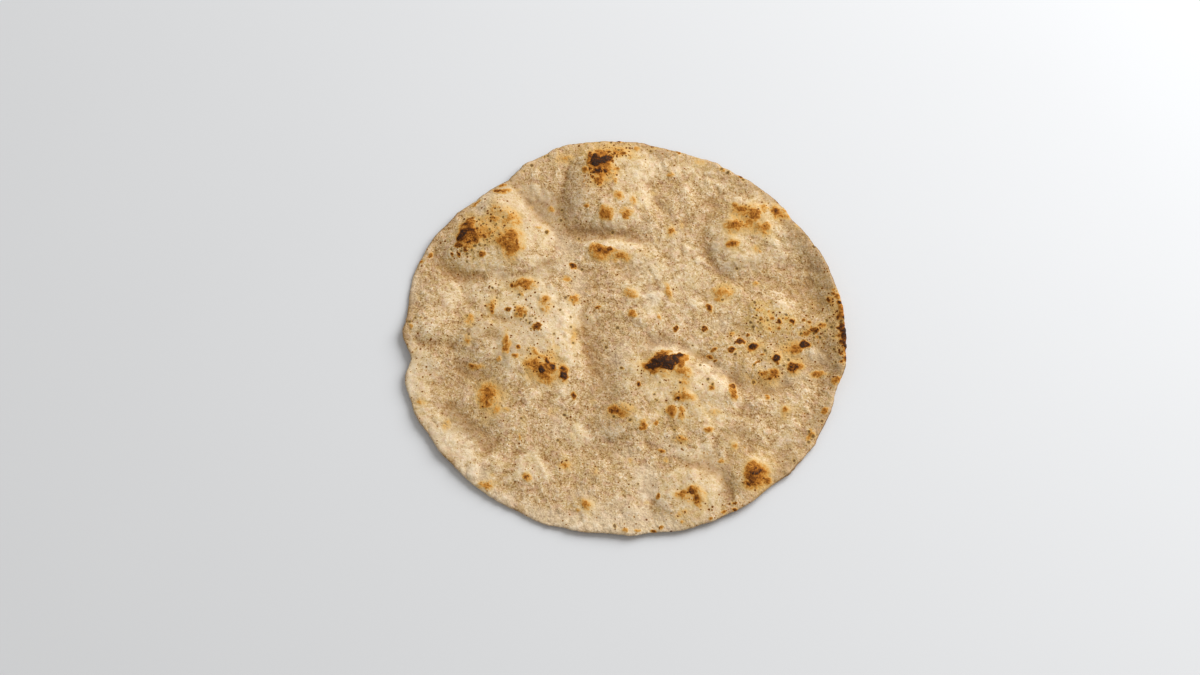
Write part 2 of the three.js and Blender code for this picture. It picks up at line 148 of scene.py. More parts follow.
DARK = (
    (17, -19, 15, 6.4, 14), (-72.6, 50, 7.4, 2.4, 3), (-70.4, 48.3, 2.4, 3.4, 30), (-50.2, 43.6, 1.3, 5, 5),
    (-24.1, 30.3, 2.2, 3.4, 28), (-59, 71, 4, 1.8, -5), (-75, 52.6, 3.2, 1.5, 8), (-72.4, 53.2, 3, 1.4, 15),
    (-77.2, 41.8, 3, 2.8, 20), (-73.9, 39.2, 1.8, 3, 10), (-72.3, 43, 4, 1.8, -8), (-69.6, 44.6, 2.6, 3.4, 40),
    (-65.3, 46.6, 1.6, 3, 20), (-69, 50.5, 1.6, 1.6), (-60.8, 71.3, 2, 1.4, 10), (-66.3, 36.8, 1.8, 2.4),
    (-72, 55.8, 3, 1, 30), (-79.8, 36.8, 1.3, 1.8), (-76.7, 36.6, 1.3, 2.2), (-15.6, 79, 1.8, 1.8),
    (-9.4, 82, 2.2, 2.6), (-3.8, 83, 2.2, 1.4, 10), (-1, 91.6, 2.2, 1.8), (-5, 91.4, 1.6, 1.3),
    (-7.6, 92.4, 2.2, 1.2), (-5.9, 87.4, 1.4, 1.3), (-2.7, 98.6, 2.4, 1.1), (-16.3, 91, 1.5, 4, 10),
    (-13.5, 93, 2.4, 1.2), (-16.8, 83.5, 1.4, 2.4), (54.5, 78.2, 2.6, 1.3, -35), (-52.2, 20.3, 1.8, 1.8),
    (-53.7, 8, 2.4, 2), (-40.2, -1, 4, 3.2, 20), (-54.2, -12.6, 2, 1.8), (-48.8, -11.3, 1.9, 1.7),
    (-60.9, 6.7, 1.5, 2), (-28.6, -22.2, 2.2, 2.2), (-11.4, 39.4, 3.4, 2.4), (-7.8, 39.8, 3.4, 2),
    (-9.4, 37.6, 3, 1.8), (-12.8, 9, 2.2, 1.3), (22.6, -2, 3, 3.2), (5.5, -29.8, 2.1, 2.1), (38, 8.3, 2.6, 3.8, 10),
    (35.4, -2.2, 2.4, 2.4), (50.8, -8.7, 3.7, 3), (53.2, -9.2, 1.3, 1.7), (47.6, -12.5, 2.8, 2.8),
    (55, -5.2, 1.6, 1.3), (61, -15.3, 1.9, 0.9, 10), (39.5, -12.6, 2.6, 1.4, 28), (37.6, -16.2, 2.6, 1.8, -10),
    (39.8, -18.2, 1.6, 1.2), (59.2, -18.7, 2.1, 0.9, 10), (57.4, -20, 2.4, 0.7, 45), (67.7, -19.4, 1.8, 1.5),
    (75, -21.2, 4.4, 3.6), (73.5, -22.6, 2.4, 1.6), (66.8, -22.8, 1.6, 1.3), (64, -27.2, 1.8, 1.2),
    (85.2, -2.6, 4.6, 3, -12), (69.6, 1.8, 2, 2.6, 20), (75.2, 1.6, 2.8, 3.2), (80.6, 2.4, 1.6, 1.3),
    (83, 1.2, 1.7, 1.4), (95, 16, 1.8, 1.4), (92.7, 12.6, 2, 2.6), (96.3, 4.3, 1.8, 2.4), (98.2, 1.8, 1.6, 2.2),
    (98.7, -1, 1.5, 2), (97, -8.8, 2.4, 2.4), (98.9, -6, 3.4, 20), (96.2, -1.6, 1.8, 1.6), (96.2, -5.4, 1.8, 1.8),
    (96.4, -14.6, 1.4, 1.4), (98.4, -16.6, 1.8, 4.4, -8), (96.6, -18.6, 1.7, 1.4, 30), (96.8, -26, 2.4, 1.4, 38),
    (47.4, -31, 2.8, 3), (-23.6, -35.6, 1.7, 3.4), (-7, -42.8, 2.8, 2.8), (-4, -43.4, 2.2, 1.6), (23, -37, 3.2, 2),
    (19.8, -44.3, 2.2, 1.6), (28, -81.8, 3.4, 3.2), (56, -72.8, 7, 4.4, 15), (54, -75.6, 3.6, 4), (52.6, -78, 1.8, 2),
    (-68.9, -21, 1.6, 1.6), (-44.2, -75, 1.7, 1.6), (11, -100.2, 2, 1), (46.3, -87.2, 1.8, 1.1),
    (46.3, -90.1, 1.8, 1.2), (25.7, 91.6, 1.6, 1.3, 15), (48.8, 42.6, 2, 2.4), (70.2, 60.6, 2, 2.4),
)
BROWN = (
    (-54, 43.2, 8, 12.5, 14), (-71.4, 46.6, 10, 7.4, 5), (-57.8, 71.2, 6.4, 2), (-57.6, 74, 3, 1.4, 10),
    (-61.5, 56, 2.8, 2.6), (-66, 37, 2.8, 3.4), (-73, 52.6, 7, 5, 20), (-69.6, 64, 4, 1.2, 40),
    (-11.2, 38.8, 8.6, 5, -8), (-3, 36, 6, 4), (-12.4, 77, 4.4, 5), (-16.4, 86, 2.6, 9), (-19, 82.6, 2.2, 4),
    (-12, 85.5, 9, 14), (-9, 58.9, 4.6, 5.2), (-3, 68.6, 2.6, 2.6), (1, 58.2, 3.6, 4.2), (-17.8, -88.2, 3, 3.8),
    (-61.2, -78.8, 4.2, 3), (21.2, 49, 2.4, 3.4, -30), (60, 57.8, 5.4, 5.4), (54.6, 61, 7, 3.4, -10),
    (51.2, 63.4, 2.4, 2.4), (64.6, 51.2, 3.8, 5.4, -15), (48.7, 42.5, 4.4, 5), (70.2, 60, 4.2, 4.6, -30),
    (50.8, 52, 9, 3.4), (57.6, 53.6, 4.4, 4.4), (72.6, 57.6, 4, 2.6, -30), (-46.4, 21.2, 6.8, 4.4, 10),
    (-50.4, 20.2, 3, 1.8, -15), (-36.6, 13, 3.6, 3), (-24.4, 12.6, 4, 3.8), (-54.2, -12.2, 2.8, 3.8),
    (-54.2, -8.6, 2.2, 6), (-50, -15.7, 2.2, 2), (-69, -21, 3, 2.4), (-41.2, -20.6, 6.6, 5.6, -10),
    (-34.6, -21.6, 5.6, 6), (-36.5, -25.8, 6, 3.6), (-28.2, -24.6, 3.8, 7.4, 5), (2.6, 5.8, 3.8, 3.8),
    (37.8, 8, 2.8, 3.8, 10), (16.6, -18.8, 14.6, 7.6, 12), (12, -23, 6, 3), (24, -19.8, 4.4, 5),
    (26.4, -16.8, 2.6, 3), (17.6, -14.2, 5, 2.4, 12), (24.6, -23.6, 4.4, 2.6, -30), (76.4, -12, 7, 4.4, 20),
    (75, -21.3, 5.8, 4.8), (61.6, -24.8, 5, 2.6), (66, -25, 5, 4.4), (85.9, -25, 6.6, 3.2), (93, -28.5, 3.6, 2, 18),
    (88.4, -0.6, 4, 2.4), (81, -4.2, 5, 2.6, 12), (47.8, -34.6, 3, 5.6), (38, -31.3, 2, 3), (-62.4, -35, 5, 9.4),
    (-62.6, -39.6, 3.8, 5), (-44.2, -74.8, 2.8, 2.8), (-5, -43, 7, 3.6), (7, -50.6, 2.8, 3.8), (20, -43.4, 5, 4.6),
    (23.4, -36.6, 5, 2.8, -10), (24.4, -43, 1.9, 3.8), (13, -49, 1.6, 2), (28.2, -81.4, 5, 4.4),
    (30.6, -86, 4, 7.4, 5), (24, -82.8, 5, 2.4, 8), (55.4, -74, 11, 8.6, 10), (60.8, -76.8, 4, 4.4, -35),
    (36, -52.2, 3, 1.8), (62.5, -36.4, 2, 2.8), (70.3, -42.3, 2.2, 2.6), (80.6, -55, 2.2, 4.6, -20),
    (15.2, -62.6, 2.8, 1.5, -30), (94.6, 18, 1.6, 1.3), (13.5, -84, 1.8, 2.4), (14.4, -98.6, 1.9, 1.4, 40),
    (35.8, -94.4, 2, 1.2, 20), (41.6, -91.3, 1.8, 1.7), (-18, 63, 2, 2.2), (-89.6, 36, 1.8, 2.4, -20),
    (-94, 32.8, 2.8, 1.5), (87.6, -43, 2.4, 3), (-62, -79, 2.2, 2), (-27.3, -69.4, 2, 1.8), (99.4, -6, 4, 27, -2),
    (94.2, -27.6, 2.4, 2.6, -26), (61.2, 3.2, 1.5, 1.5), (66.4, 3.4, 1.8, 1.4), (64.6, -2, 1.6, 1.4),
    (69, -2, 1.6, 1.6), (59.4, 7.6, 1.4, 1.6), (64.8, 6.6, 1.6, 1.4), (86.4, -6, 1.6, 1.4), (98.4, 7, 2.2, 10, 4),
    (96.4, 14.6, 2, 3.4, 15), (-2, -22, 1.8, 1.8), (56.8, -28.6, 1.5, 2.2), (-60.8, 9, 1.6, 4),
    (-47.6, 6.6, 4, 4, -40),
)
ORANGE = (
    (-69.6, 64.2, 6, 1.8, 40), (-70.9, 62.7, 3, 1.4, 30), (-56.5, 60, 5, 1.8, -10), (-54, 56, 4.6, 8, -25),
    (-50.5, 53.4, 4.4, 2.4), (-61.5, 56, 4, 3.6), (-54.4, 43.4, 10, 15, 12), (-70.6, 46.6, 16, 11, 8),
    (-34.5, 61, 3.2, 2.6), (-40.5, 51, 2.8, 1.6), (-36.5, 48.5, 1.8, 2.2), (-12.6, 84.5, 10, 16), (-4, 92.5, 9, 5),
    (-3, 68.4, 4.2, 4.6), (0.6, 58.6, 5.4, 5.6, 10), (-9, 59, 7.2, 7.6), (3.8, 66, 2.8, 4.6),
    (5.5, 94.4, 3, 2.6, -20), (2.5, 89.3, 2.4, 1.4), (-27.8, 89.5, 4, 3, 10), (21.3, 79.6, 3.2, 2.6, 20),
    (-4.8, 76.4, 1.9, 3.4), (57, 60, 12, 6, -15), (59.5, 55.5, 5, 7), (52, 52, 13, 5.2, -8), (63.4, 50.3, 6, 8, -25),
    (49, 42.6, 6, 6.4), (71, 59.6, 10, 5.6, -35), (65, 61.2, 6, 2.6, -8), (60, 40.3, 2, 2), (61.4, 38.4, 2, 1.6),
    (51.5, 63.6, 2.8, 2.4), (-46.8, 21.3, 10, 6, 5), (-47.4, 15.8, 1.7, 3.6), (-36.6, 12.6, 4.2, 3.4),
    (-37.6, 7.6, 3, 2.6), (-24.3, 12.8, 5, 4.6), (-27.2, 23.8, 3.6, 2.8), (-61, 10.5, 3, 7), (-48, 6.6, 5.4, 6, -40),
    (-54.2, -9.4, 3, 10.4), (-57, -17.6, 2.2, 3), (-67.5, -21, 7, 3.2), (-40.6, -20.6, 10.6, 8.6, -15),
    (-39.2, -14.8, 9.6, 2.8, -42), (-35, -27, 8, 6), (-28.2, -25, 5, 8, 5), (-71.5, -8, 2.8, 3.4),
    (-71, 2.8, 3.6, 4.4), (-11.6, 38, 11, 7), (-2.2, 36.2, 9.4, 6.6), (2.5, 16.3, 6, 4.6, -15),
    (19.5, 17, 2.6, 8, 25), (15, 4, 1.6, 3.6, 25), (3, 5.4, 4, 4), (17.6, -18.8, 16.4, 8.6, 12),
    (25, -23.5, 8, 5, -30), (-97.3, -1, 1.6, 2.6), (43.4, 17, 9, 4), (42.6, 13.6, 4, 4.4), (48.4, 17.4, 3.4, 2, 5),
    (47.6, -4.8, 2.6, 2.6), (75.6, -12, 8, 4.6, 20), (65, -25.2, 8.4, 5, -8), (86, -25, 7.4, 3.4),
    (75, -21.4, 7, 5.6), (47.3, -33.8, 2.8, 7.4), (38, -31.2, 3, 4), (25.6, -35.6, 9, 6, -20), (24.4, -45, 2.4, 6.4),
    (20.2, -43.6, 5.4, 4.8), (-61.4, -36, 8, 13, 5), (-57.6, -43, 3.4, 5.4, -20), (-61, -78.8, 6, 3.6),
    (-44, -74.6, 3.8, 4.6), (-27.2, -69.6, 4, 3.8), (-18, -88.3, 3.4, 5.2, 20), (-21.3, -90.5, 2, 1.8),
    (-3.4, -43, 9, 5.6), (25.6, -82.6, 8.6, 4.4, 8), (30.6, -84.4, 5.4, 10.4, 8), (55.4, -74.4, 13, 10.4, 10),
    (61, -76.6, 4, 3.6), (4.3, -99.8, 2.6, 1.8, 15), (-1, -99.8, 2.2, 2), (70.3, -42.5, 3.4, 3.4),
    (36, -52.2, 4.2, 2.8), (46.7, -60.2, 3, 3.8), (41.3, -67.3, 2.4, 2.8), (23.5, -96, 2, 1.6), (-47, -56, 1.4, 3.6),
    (7.2, -50, 3.2, 5), (93, -28.3, 4.6, 3, 18), (-91.6, -39.3, 2.6, 2), (59.5, 21, 2.8, 2), (84, -3, 9, 2.6, 20),
    (74.8, 1.8, 3.4, 3.4), (94, 12.5, 4, 6), (25.6, -29, 3, 2.8), (24.5, -57.2, 5, 3, -15), (72.7, 3.4, 2, 2),
    (45.6, 82.6, 2.4, 1.6, -30),
)
LIGHT = (
    (-66, 49, 22, 18, 8), (-56.5, 57.5, 19, 12, -18), (-54.2, 43, 14, 19, 12), (-12.4, 83.5, 14, 20),
    (-5, 92.5, 17, 8), (-9, 59.5, 8, 9), (0.8, 58.6, 6, 6.4), (-28.5, 89, 8, 6), (21.2, 48.7, 4.6, 6, -30),
    (57.5, 58, 16, 12, -15), (53, 52, 16, 9, -5), (62, 50, 10, 10), (70.4, 58.6, 10, 6, -35), (49, 42.6, 7, 8),
    (-46.8, 20.6, 13, 9, 5), (-61, 10.2, 5, 10), (-71.5, -7.8, 4, 5), (-38.6, -20.6, 15, 14, -15), (-29, -25, 7, 11),
    (17.8, -19.5, 19, 11, 10), (25, -24, 11, 8, -30), (44, 16.6, 11, 8), (75, -12.2, 13, 7, 18), (65, -25, 11, 8, -8),
    (74.8, -21.2, 9, 8), (57.5, -11.6, 8, 6, 15), (67, -17.6, 6, 7), (85.5, -2, 10, 5, 12), (62.5, 2, 6, 5),
    (67, -1.5, 7, 5), (61, 7.6, 4, 3), (66, 5, 4, 3), (95.6, 8, 6, 20), (97, -10, 5, 20), (-60, -37.5, 11, 19, 10),
    (-53.6, -42.5, 5, 2.6), (28, -82.6, 11, 9), (55.4, -74.6, 14.4, 11.6, 10), (-2.4, -43.4, 12, 7),
    (-18, -88, 5.4, 7, 20), (-27, -69.3, 5.4, 4.6), (24, -57.5, 8.4, 5, -12), (-71, 2.4, 5, 6), (-34.5, -28.6, 6, 5),
    (1.5, -47.5, 3, 3), (70.3, -42.6, 5.4, 6), (-14, -72.5, 3.4, 4.6, 30), (3.6, 66, 3.4, 5.4), (17, -67, 2.6, 3),
    (1.3, -66.8, 2.4, 3), (23.5, -92.5, 9, 3.4, 15), (35, 87, 5, 3, -25), (-91.6, -38.6, 4.6, 4.6),
    (-79.6, -50, 3, 6), (-23.6, -5, 2.6, 10), (-31.6, -11, 3.4, 2.4), (26, -31, 8, 10, -20), (-60.5, -78.6, 7, 4.4),
    (-24.3, 12.8, 6.4, 6), (-37, 10.5, 6, 9), (60.6, 39.6, 4, 5, 30), (39, -44, 6, 3),
)
FAINT = (
    (-43.5, 62.5, 2.2, 2.2), (-50.5, 72, 2.4, 2.4), (13.5, 69.5, 3.4, 2.6, -30), (26, 52, 2.4, 4, 30),
    (58.5, 48.5, 4, 2.4), (79.5, 51.5, 4, 3, -30), (-60.5, 1, 2.6, 2.4), (-23.5, -4, 2.2, 7, 10),
    (-31.5, -11.5, 3.4, 2.6), (5.5, -20, 3.4, 4.4), (-85, -25.5, 2.4, 1.6), (-91.7, -38.5, 4, 4),
    (-80, -49.5, 3.4, 4), (-15, -38, 3, 3), (-24.3, -55.5, 1.8, 4), (-33.5, -44, 3.4, 4), (69.5, -46.5, 3, 3),
    (8, -87, 2.6, 2.4), (8.5, -47.5, 3.4, 3), (38, -9, 2.4, 2.4), (43, -26.3, 4, 1.6), (2, 89, 3.4, 1.4),
    (-58.5, -74, 3, 2), (-53, -74, 3, 2), (14, 94.5, 6, 2.4, -10),
)
# Its regions: x, y, width, height and strength, and a turn where they have one. First where it has browned dots
STIPPLED = (
    (-68, 48, 20, 17, 1, 5), (-73, 40, 13, 12, 0.75), (-57, 57.5, 18, 12, 0.6, -15), (-54, 43, 10, 15, 0.15, 12),
    (-72, 55, 10, 8, 0.8, 30), (-64, 62, 17, 13, 0.35, 30), (-88, 40, 13, 24, 0.35, -38), (-4, 92.5, 17, 12, 1),
    (-12.5, 83, 16, 23, 0.8), (-12, 98, 26, 5, 0.6), (16, 94, 20, 5, 0.5, -12), (50, 81, 16, 5, 0.6, -35),
    (57, 57, 18, 13, 0.35, -10), (70, 60, 10, 7, 0.5, -35), (-61, 9, 6, 11, 0.8), (-46.5, 20.5, 13, 8, 0.5, 5),
    (-47, 5.5, 9, 10, 0.95, -30), (-42, 1, 9, 9, 0.6), (-24.5, 12.8, 6, 6, 0.6), (-39, -18.5, 15, 16, 0.7),
    (17, -20, 22, 12, 0.6, 10), (65, 2, 18, 14, 0.8, -10), (60, -10, 30, 14, 0.45), (64.8, -24.6, 12, 9, 0.7),
    (88, 1, 16, 26, 0.55), (96, 0, 9, 48, 1), (74.7, -21, 8, 7, 0.7), (90, -27, 14, 7, 0.5, 20),
    (28.5, -83, 13, 11, 0.2), (55.4, -74.6, 13, 12, 0.2, 15), (24, -57.5, 10, 6, 0.7, -15),
    (41, -90, 18, 7, 0.55, 15), (10, -97, 26, 7, 0.1, 3), (-60.5, -38, 9, 17, 0.15), (-27, -69, 6, 5, 0.4),
    (82, -55, 9, 15, 0.5, -25), (91, 36, 7, 32, 0.6, 22), (-20, 10, 16, 14, 0.3), (-52, 8, 34, 40, 0.2),
    (-3, -43, 12, 8, 0.6), (-45, -72, 6, 9, 0.5), (24, -38, 14, 20, 0.35), (78, -2, 20, 10, 0.6, 15),
    (-91, -10, 10, 50, 0.3, 8),
)
# Translucent yellow patches
YELLOW = (
    (-62, 50, 30, 26, 0.55), (-68, 32, 28, 10, 0.6), (-9, 90, 32, 22, 0.75), (66, 2.5, 24, 17, 1, -15),
    (57, 53, 26, 22, 0.5, -15), (18, -22, 34, 20, 0.55), (-39, -20, 22, 24, 0.5), (62, -18, 44, 22, 0.45, -20),
    (22, -42, 34, 22, 0.45), (28, -80, 26, 22, 0.25), (55, -73, 20, 20, 0.5), (88, 4, 22, 40, 0.4),
    (-60, -37, 16, 24, 0.4), (-52, 10, 30, 22, 0.35), (0, 36, 30, 14, 0.25), (35, 86, 18, 9, 0.5, -25),
    (-18, -88, 9, 10, 0.5), (70.5, -43, 9, 9, 0.6), (-27, -69, 9, 8, 0.4), (23, -93, 20, 8, 0.5, 10),
    (44, 15, 17, 15, 0.4), (47, -60, 7, 8, 0.6), (-61, -79, 10, 6, 0.4), (-24, -4, 7, 14, 0.5), (-92, -39, 8, 8, 0.6),
)
# Painted shade where shadow falls, in valleys and troughs, beside creases and on the rims, with some darker dough
SHADE_AND_DARK_DOUGH = (
    (82.5, 48.6, 26, 14, 1, -57), (92, 30, 26, 12, 1, -72), (56, 32, 18, 9, 0.9, 10), (45, 41, 12, 9, 0.6, 80),
    (-56, 75, 16, 8, 0.9, 38), (-41, 66, 30, 11, 0.55, -50), (-27, 58, 13, 12, 0.7), (-12, 50, 32, 6, 0.8),
    (-19, 73, 9, 24, 0.9), (-38, 28.5, 16, 7, 0.7, 10), (-72, -49, 26, 11, 1, -45), (-7, -51, 18, 9, 0.7, -10),
    (-65, -4, 18, 12, 0.75, 10), (-50, -2, 24, 8, 0.6, -12), (-50, -12.5, 14, 9, 0.9), (16.6, 65.2, 15, 3, 1, -60),
    (-51, 62, 12, 30, 0.45, 40), (69, 8, 9, 7, 0.35), (33, -76, 8, 13, 0.4, 30), (-58, -48, 10, 9, 0.7, -40),
    (97.4, -19, 7, 28, 1, -14), (94.6, 12, 9, 18, 0.9, 10), (68, 69, 28, 10, 1, -42), (56, -27.6, 17, 9, 0.85, -25),
    (74, -58, 16, 9, 0.5, 30), (87, -49, 18, 9, 0.9, 62), (70, -70.5, 15, 9, 0.9, 38), (48, -55, 13, 11, 0.7),
    (-9, -33, 22, 16, 0.55, -80), (15, 94, 22, 9, 0.8, -12), (48, 77, 14, 6, 0.4, -35), (44, -80, 16, 7, 0.8, 75),
    (-13, -5, 11, 24, 0.4), (60, -33, 12, 5, 0.8, -10), (15, -90, 12, 6, 0.5, -60), (28, -43, 6, 9, 0.4),
    (-2, 66, 12, 8, 0.4), (70, -13, 60, 40, 0.15),
)
# Pale floury places, and painted light on the rims that face away from the lamp and on some puffed parts
FLOUR_AND_PAINTED_LIGHT = (
    (12, 13, 6, 10, 0.9, 20), (24, 47, 5, 8, 0.7), (7, 84, 22, 14, 0.25), (-44, 62, 16, 20, 0.15),
    (-14, -90, 4, 9, 0.7), (40, -22, 14, 7, 0.5, -25), (70, 8.5, 6, 5, 0.2, -20), (62, -20, 7, 4, 0.7),
    (38, -70, 16, 20, 0.2, 20), (-28, 6, 14, 26, 0.3), (44, 0, 10, 11, 0.5), (85, -17, 12, 8, 0.6),
    (6, 31, 12, 9, 0.5), (-20, -83, 9, 7, 0.5), (-4, -89, 12, 9, 0.6), (10, 51, 10, 7, 0.5), (0, -63, 10, 7, 0.5),
    (34, -95, 12, 5, 0.6, 20), (-30, -50, 8, 10, 0.5), (-78, -58, 26, 12, 0.5, -35), (-3, -15, 12, 14, 0.6),
    (12, -12, 12, 6, 0.6), (19, -9.5, 22, 7, 0.6, -20), (-60, 28, 22, 6, 0.4, -20), (2, -98, 60, 11, 1, 2),
    (9, -79, 13, 16, 1), (-64, -79, 28, 14, 1, -38), (-30, -95, 34, 12, 0.9, -18), (21, -98, 16, 7, 0.7, 8),
    (-96.5, 21, 6, 20, 0.9), (-95.4, -35, 6, 16, 0.7, 12), (-97, -22, 5, 12, 0.6, 5), (20, -62, 12, 7, 0.5, -30),
    (74, -27, 16, 6, 0.7, 10), (-21, 20, 8, 16, 0.7), (-27, 31, 9, 9, 0.6), (-28.5, 42, 8, 16, 0.7, 35),
    (-67, 63.5, 14, 7, 0.9, 45), (-42, 8, 26, 36, 0.35),
)
# Smooth creamy skin, which is puffed or dried
CREAMY = (
    (-45, 56, 24, 38, 1, 35), (-62, 32, 34, 14, 0.5, -5), (-42, 4, 44, 56, 0.85, 8), (-72, 14, 30, 18, 0.5),
    (4, 79, 22, 34, 0.7, 5), (-4, 55, 24, 10, 0.5), (-6, 43.5, 30, 5, 1), (60, 46, 36, 36, 0.5),
    (54.5, 66.5, 22, 8, 0.5, -30), (69.5, 8.5, 11, 9, 0.5, -20), (26, -30, 48, 34, 0.85, -38),
    (31, -78, 26, 30, 0.9, 20), (20, 24, 42, 46, 0.45, 10), (-80, -55, 24, 56, 0.4, 38), (-92, -22, 13, 40, 0.7, 5),
    (59, -71, 14, 14, 0.5), (-40, -70, 15, 13, 0.6), (-21, -56, 10, 10, 0.8), (33, 80, 22, 14, 0.6, -20),
    (45, 13, 15, 12, 0.6), (8, -86, 22, 14, 0.5), (-15, -90, 16, 16, 0.5), (70, -42, 10, 9, 0.6),
    (47, -60, 9, 9, 0.5), (-57, -72, 16, 10, 0.5), (-34, -32, 24, 12, 0.4, -20), (68, -60, 20, 12, 0.35, 30),
    (2, -22, 10, 12, 0.4),
)
# What each region's rows draw, and how wide their edges are in mm
REGIONS = {
    "stipple": (STIPPLED, 4), "yellow": (YELLOW, 9), "shade_and_dark_dough": (SHADE_AND_DARK_DOUGH, 7),
    "flour_and_painted_light": (FLOUR_AND_PAINTED_LIGHT, 4), "creamy": (CREAMY, 8),
}
# Small dark dots by their width: x and y
DOTS = {
    0.8: ((-18, 4.3), (-10.5, -7.8), (15, -29)),
    0.9: ((-93, 3.5), (-58, 20.5), (-51, 10.5), (-47.5, 82), (-38, 90), (-36.5, 90.5), (30, -10.5), (60.7, 0.8),
        (64, 2.3), (57.3, -20.3), (-14.5, -43.3), (4.7, -78.3)),
    1: ((-95.5, 3.5), (-59, 13.8), (-72, 4.5), (-71, -5), (-43, -2), (-44, -12), (-30, 7.7), (-25, 4), (-25, -1),
        (-32.5, -4.5), (-24, -9.3), (73.3, -7.7), (94, -19), (1.5, -40), (13.5, -38), (-3, 93.5), (-24.5, 12.5),
        (-68, 38.2), (-62, 46.5), (-68, 55.5), (-70, 34.5), (-57, 57), (-73, 33), (-42.5, 4.4), (-47.6, 3),
        (-41, 3.4), (90, -3.4)),
    1.1: ((58.5, 8.3), (58.7, 3.5), (84.7, -6.5), (-71, 39), (-60, 53), (-80.5, 39.5), (-49.5, 5.6), (84.6, -4.5),
        (93.4, -12.2)),
    1.2: ((-61, 19), (33, -20.5), (44, 12.8), (72.8, 5.3), (93.5, -6), (70.5, -20.7), (-46.5, -46.5), (-5.7, -46),
        (12.3, -35), (21, -52.3), (-6.5, 98), (-12, 98.5), (-18.5, 98.5), (12, 93), (80.2, -53.3), (-73, 37),
        (-65, 41.8), (-64, 44.5), (-63, 50), (-66, 53), (-45, 2.4), (-43.5, 1), (79, -4.4)),
    1.3: ((-98, 1.5), (-48.5, 15.5), (-29.5, 60.5), (-20, 28.7), (93, -1), (91, 2), (49, -15), (-30.3, -57.5),
        (73, -67.3), (45.5, 83), (85.5, 45), (-76, 38.5), (-67.5, 42), (-46, 4.6), (38.3, -29.9)),
    1.4: ((-9, -11.5), (51, 29.2), (56.5, 1.3), (87.5, -6.5), (62.5, -13.3), (86, -48), (55.5, 77), (80, -58.2),
        (1.5, -47.5), (-27.5, 14)),
    1.5: ((-30, 55), (-21.5, 45), (-6, 48.5), (-4, -1.5), (-2.3, -22), (97.5, 2), (36.3, -27.5), (48.5, 81),
        (82, -55.5), (-5.5, -98), (-69.8, 41.3)),
    1.6: ((-44, 85), (58.7, 11.3), (57.5, -1), (72.7, -17.7), (56.7, -28.7), (-27.5, -45), (87, 41)),
    1.7: ((-36.8, 48.3),),
}
# The depth in dots far from all of them, in mm
DOT_REACH = 1.2

# Browned patches of the lower face: the range of their widths in mm, from which width they have no char, the range of
# their height per width, and how near the floor they lie, in mm
PATCHES = {"count": 74, "seed": 41, "widths": (2.2, 15, 1.6), "wide": 7, "high": (0.55, 1.1), "low": 0.12}
# How far its rings shift per width, and the first one's size and how much each next one grows, by its darkest kind
RING_SHIFT = 0.12
RINGS = ((0.45, 0.28), (0.45, 0.28), (0.45, 0.28), (0.8, 0.2))
# What comes with browning there: the most of it, and how fast
LOWER_WITH = {"stipple": (0.75, 1.6), "yellow": (0.8, 2)}
# Its patches of smooth skin: their size in mm and seed, how common they are, and how strong
LOWER_SKIN = {"cell": 22, "seed": 33, "common": 0.4, "strong": 0.8}


def direction(azimuth, elevation):
    """The unit vector towards a compass angle, counted from +X to +Y, and a height, in degrees."""
    a, e = math.radians(azimuth), math.radians(elevation)
    return Vector((math.cos(a) * math.cos(e), math.sin(a) * math.cos(e), math.sin(e)))


def linear(*colour):
    """A screen colour of 0 to 255 as the light that it stands for, with its opacity."""
    parts = [value / 255 for value in colour]
    return (*(part / 12.92 if part <= 0.04045 else ((part + 0.055) / 1.055) ** 2.4 for part in parts), 1.0)


def smooth(value, start=0, full=1):
    """0 at the start, 1 where full, and a soft step between."""
    part = np.clip((value - start) / (full - start), 0, 1)
    return part * part * (3 - 2 * part)


def lumps(x, y, cell, seed):
    """Smooth random values from -1 to 1 at the points x and y, with lumps of about one cell."""
    draw = np.random.default_rng(seed)
    turn = draw.uniform(0.2, 1.3)
    half = int(LUMPS_REACH / cell) + 2
    grid = draw.uniform(-1, 1, (2 * half + 2, 2 * half + 2))
    across = (x * math.cos(turn) - y * math.sin(turn)) / cell + half
    along = (x * math.sin(turn) + y * math.cos(turn)) / cell + half
    column, row = np.floor(across).astype(int), np.floor(along).astype(int)
    right, up = smooth(across - column), smooth(along - row)
    near = grid[row, column] * (1 - right) + grid[row, column + 1] * right
    far = grid[row + 1, column] * (1 - right) + grid[row + 1, column + 1] * right
    return near * (1 - up) + far * up


def relief(x, y, rows, shape=np.positive):
    """The lumps of all rows, each of this shape, added up, in mm."""
    return sum(high * shape(lumps(x, y, cell, seed)) for cell, high, seed in rows)


def drawn_size(draw, small, large, skew):
    """A random size between the two, more often a small one."""
    return small * (large / small) ** draw.uniform() ** skew


def solid_of(node):
    """The vertices, in mm, and the facets of a node, with the vertices at one place made one."""
    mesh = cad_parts[node].data
    points = np.empty(len(mesh.vertices) * 3)
    mesh.vertices.foreach_get("co", points)
    mesh.calc_loop_triangles()
    facets = np.empty(len(mesh.loop_triangles) * 3, int)
    mesh.loop_triangles.foreach_get("vertices", facets)
    rounded = np.round(points.reshape(-1, 3) / MM, 4)
    merged, place = np.unique(rounded, axis=0, return_inverse=True)
    return merged, place.reshape(-1)[facets].reshape(-1, 3)


def edges_of(facets):
    """The ends of each edge, and the edges of each facet."""
    corners = np.stack([facets, np.roll(facets, -1, axis=1)], axis=2).reshape(-1, 2)
    edges, edge_of = np.unique(np.sort(corners, axis=1), axis=0, return_inverse=True)
    return edges, edge_of.reshape(-1, 3)


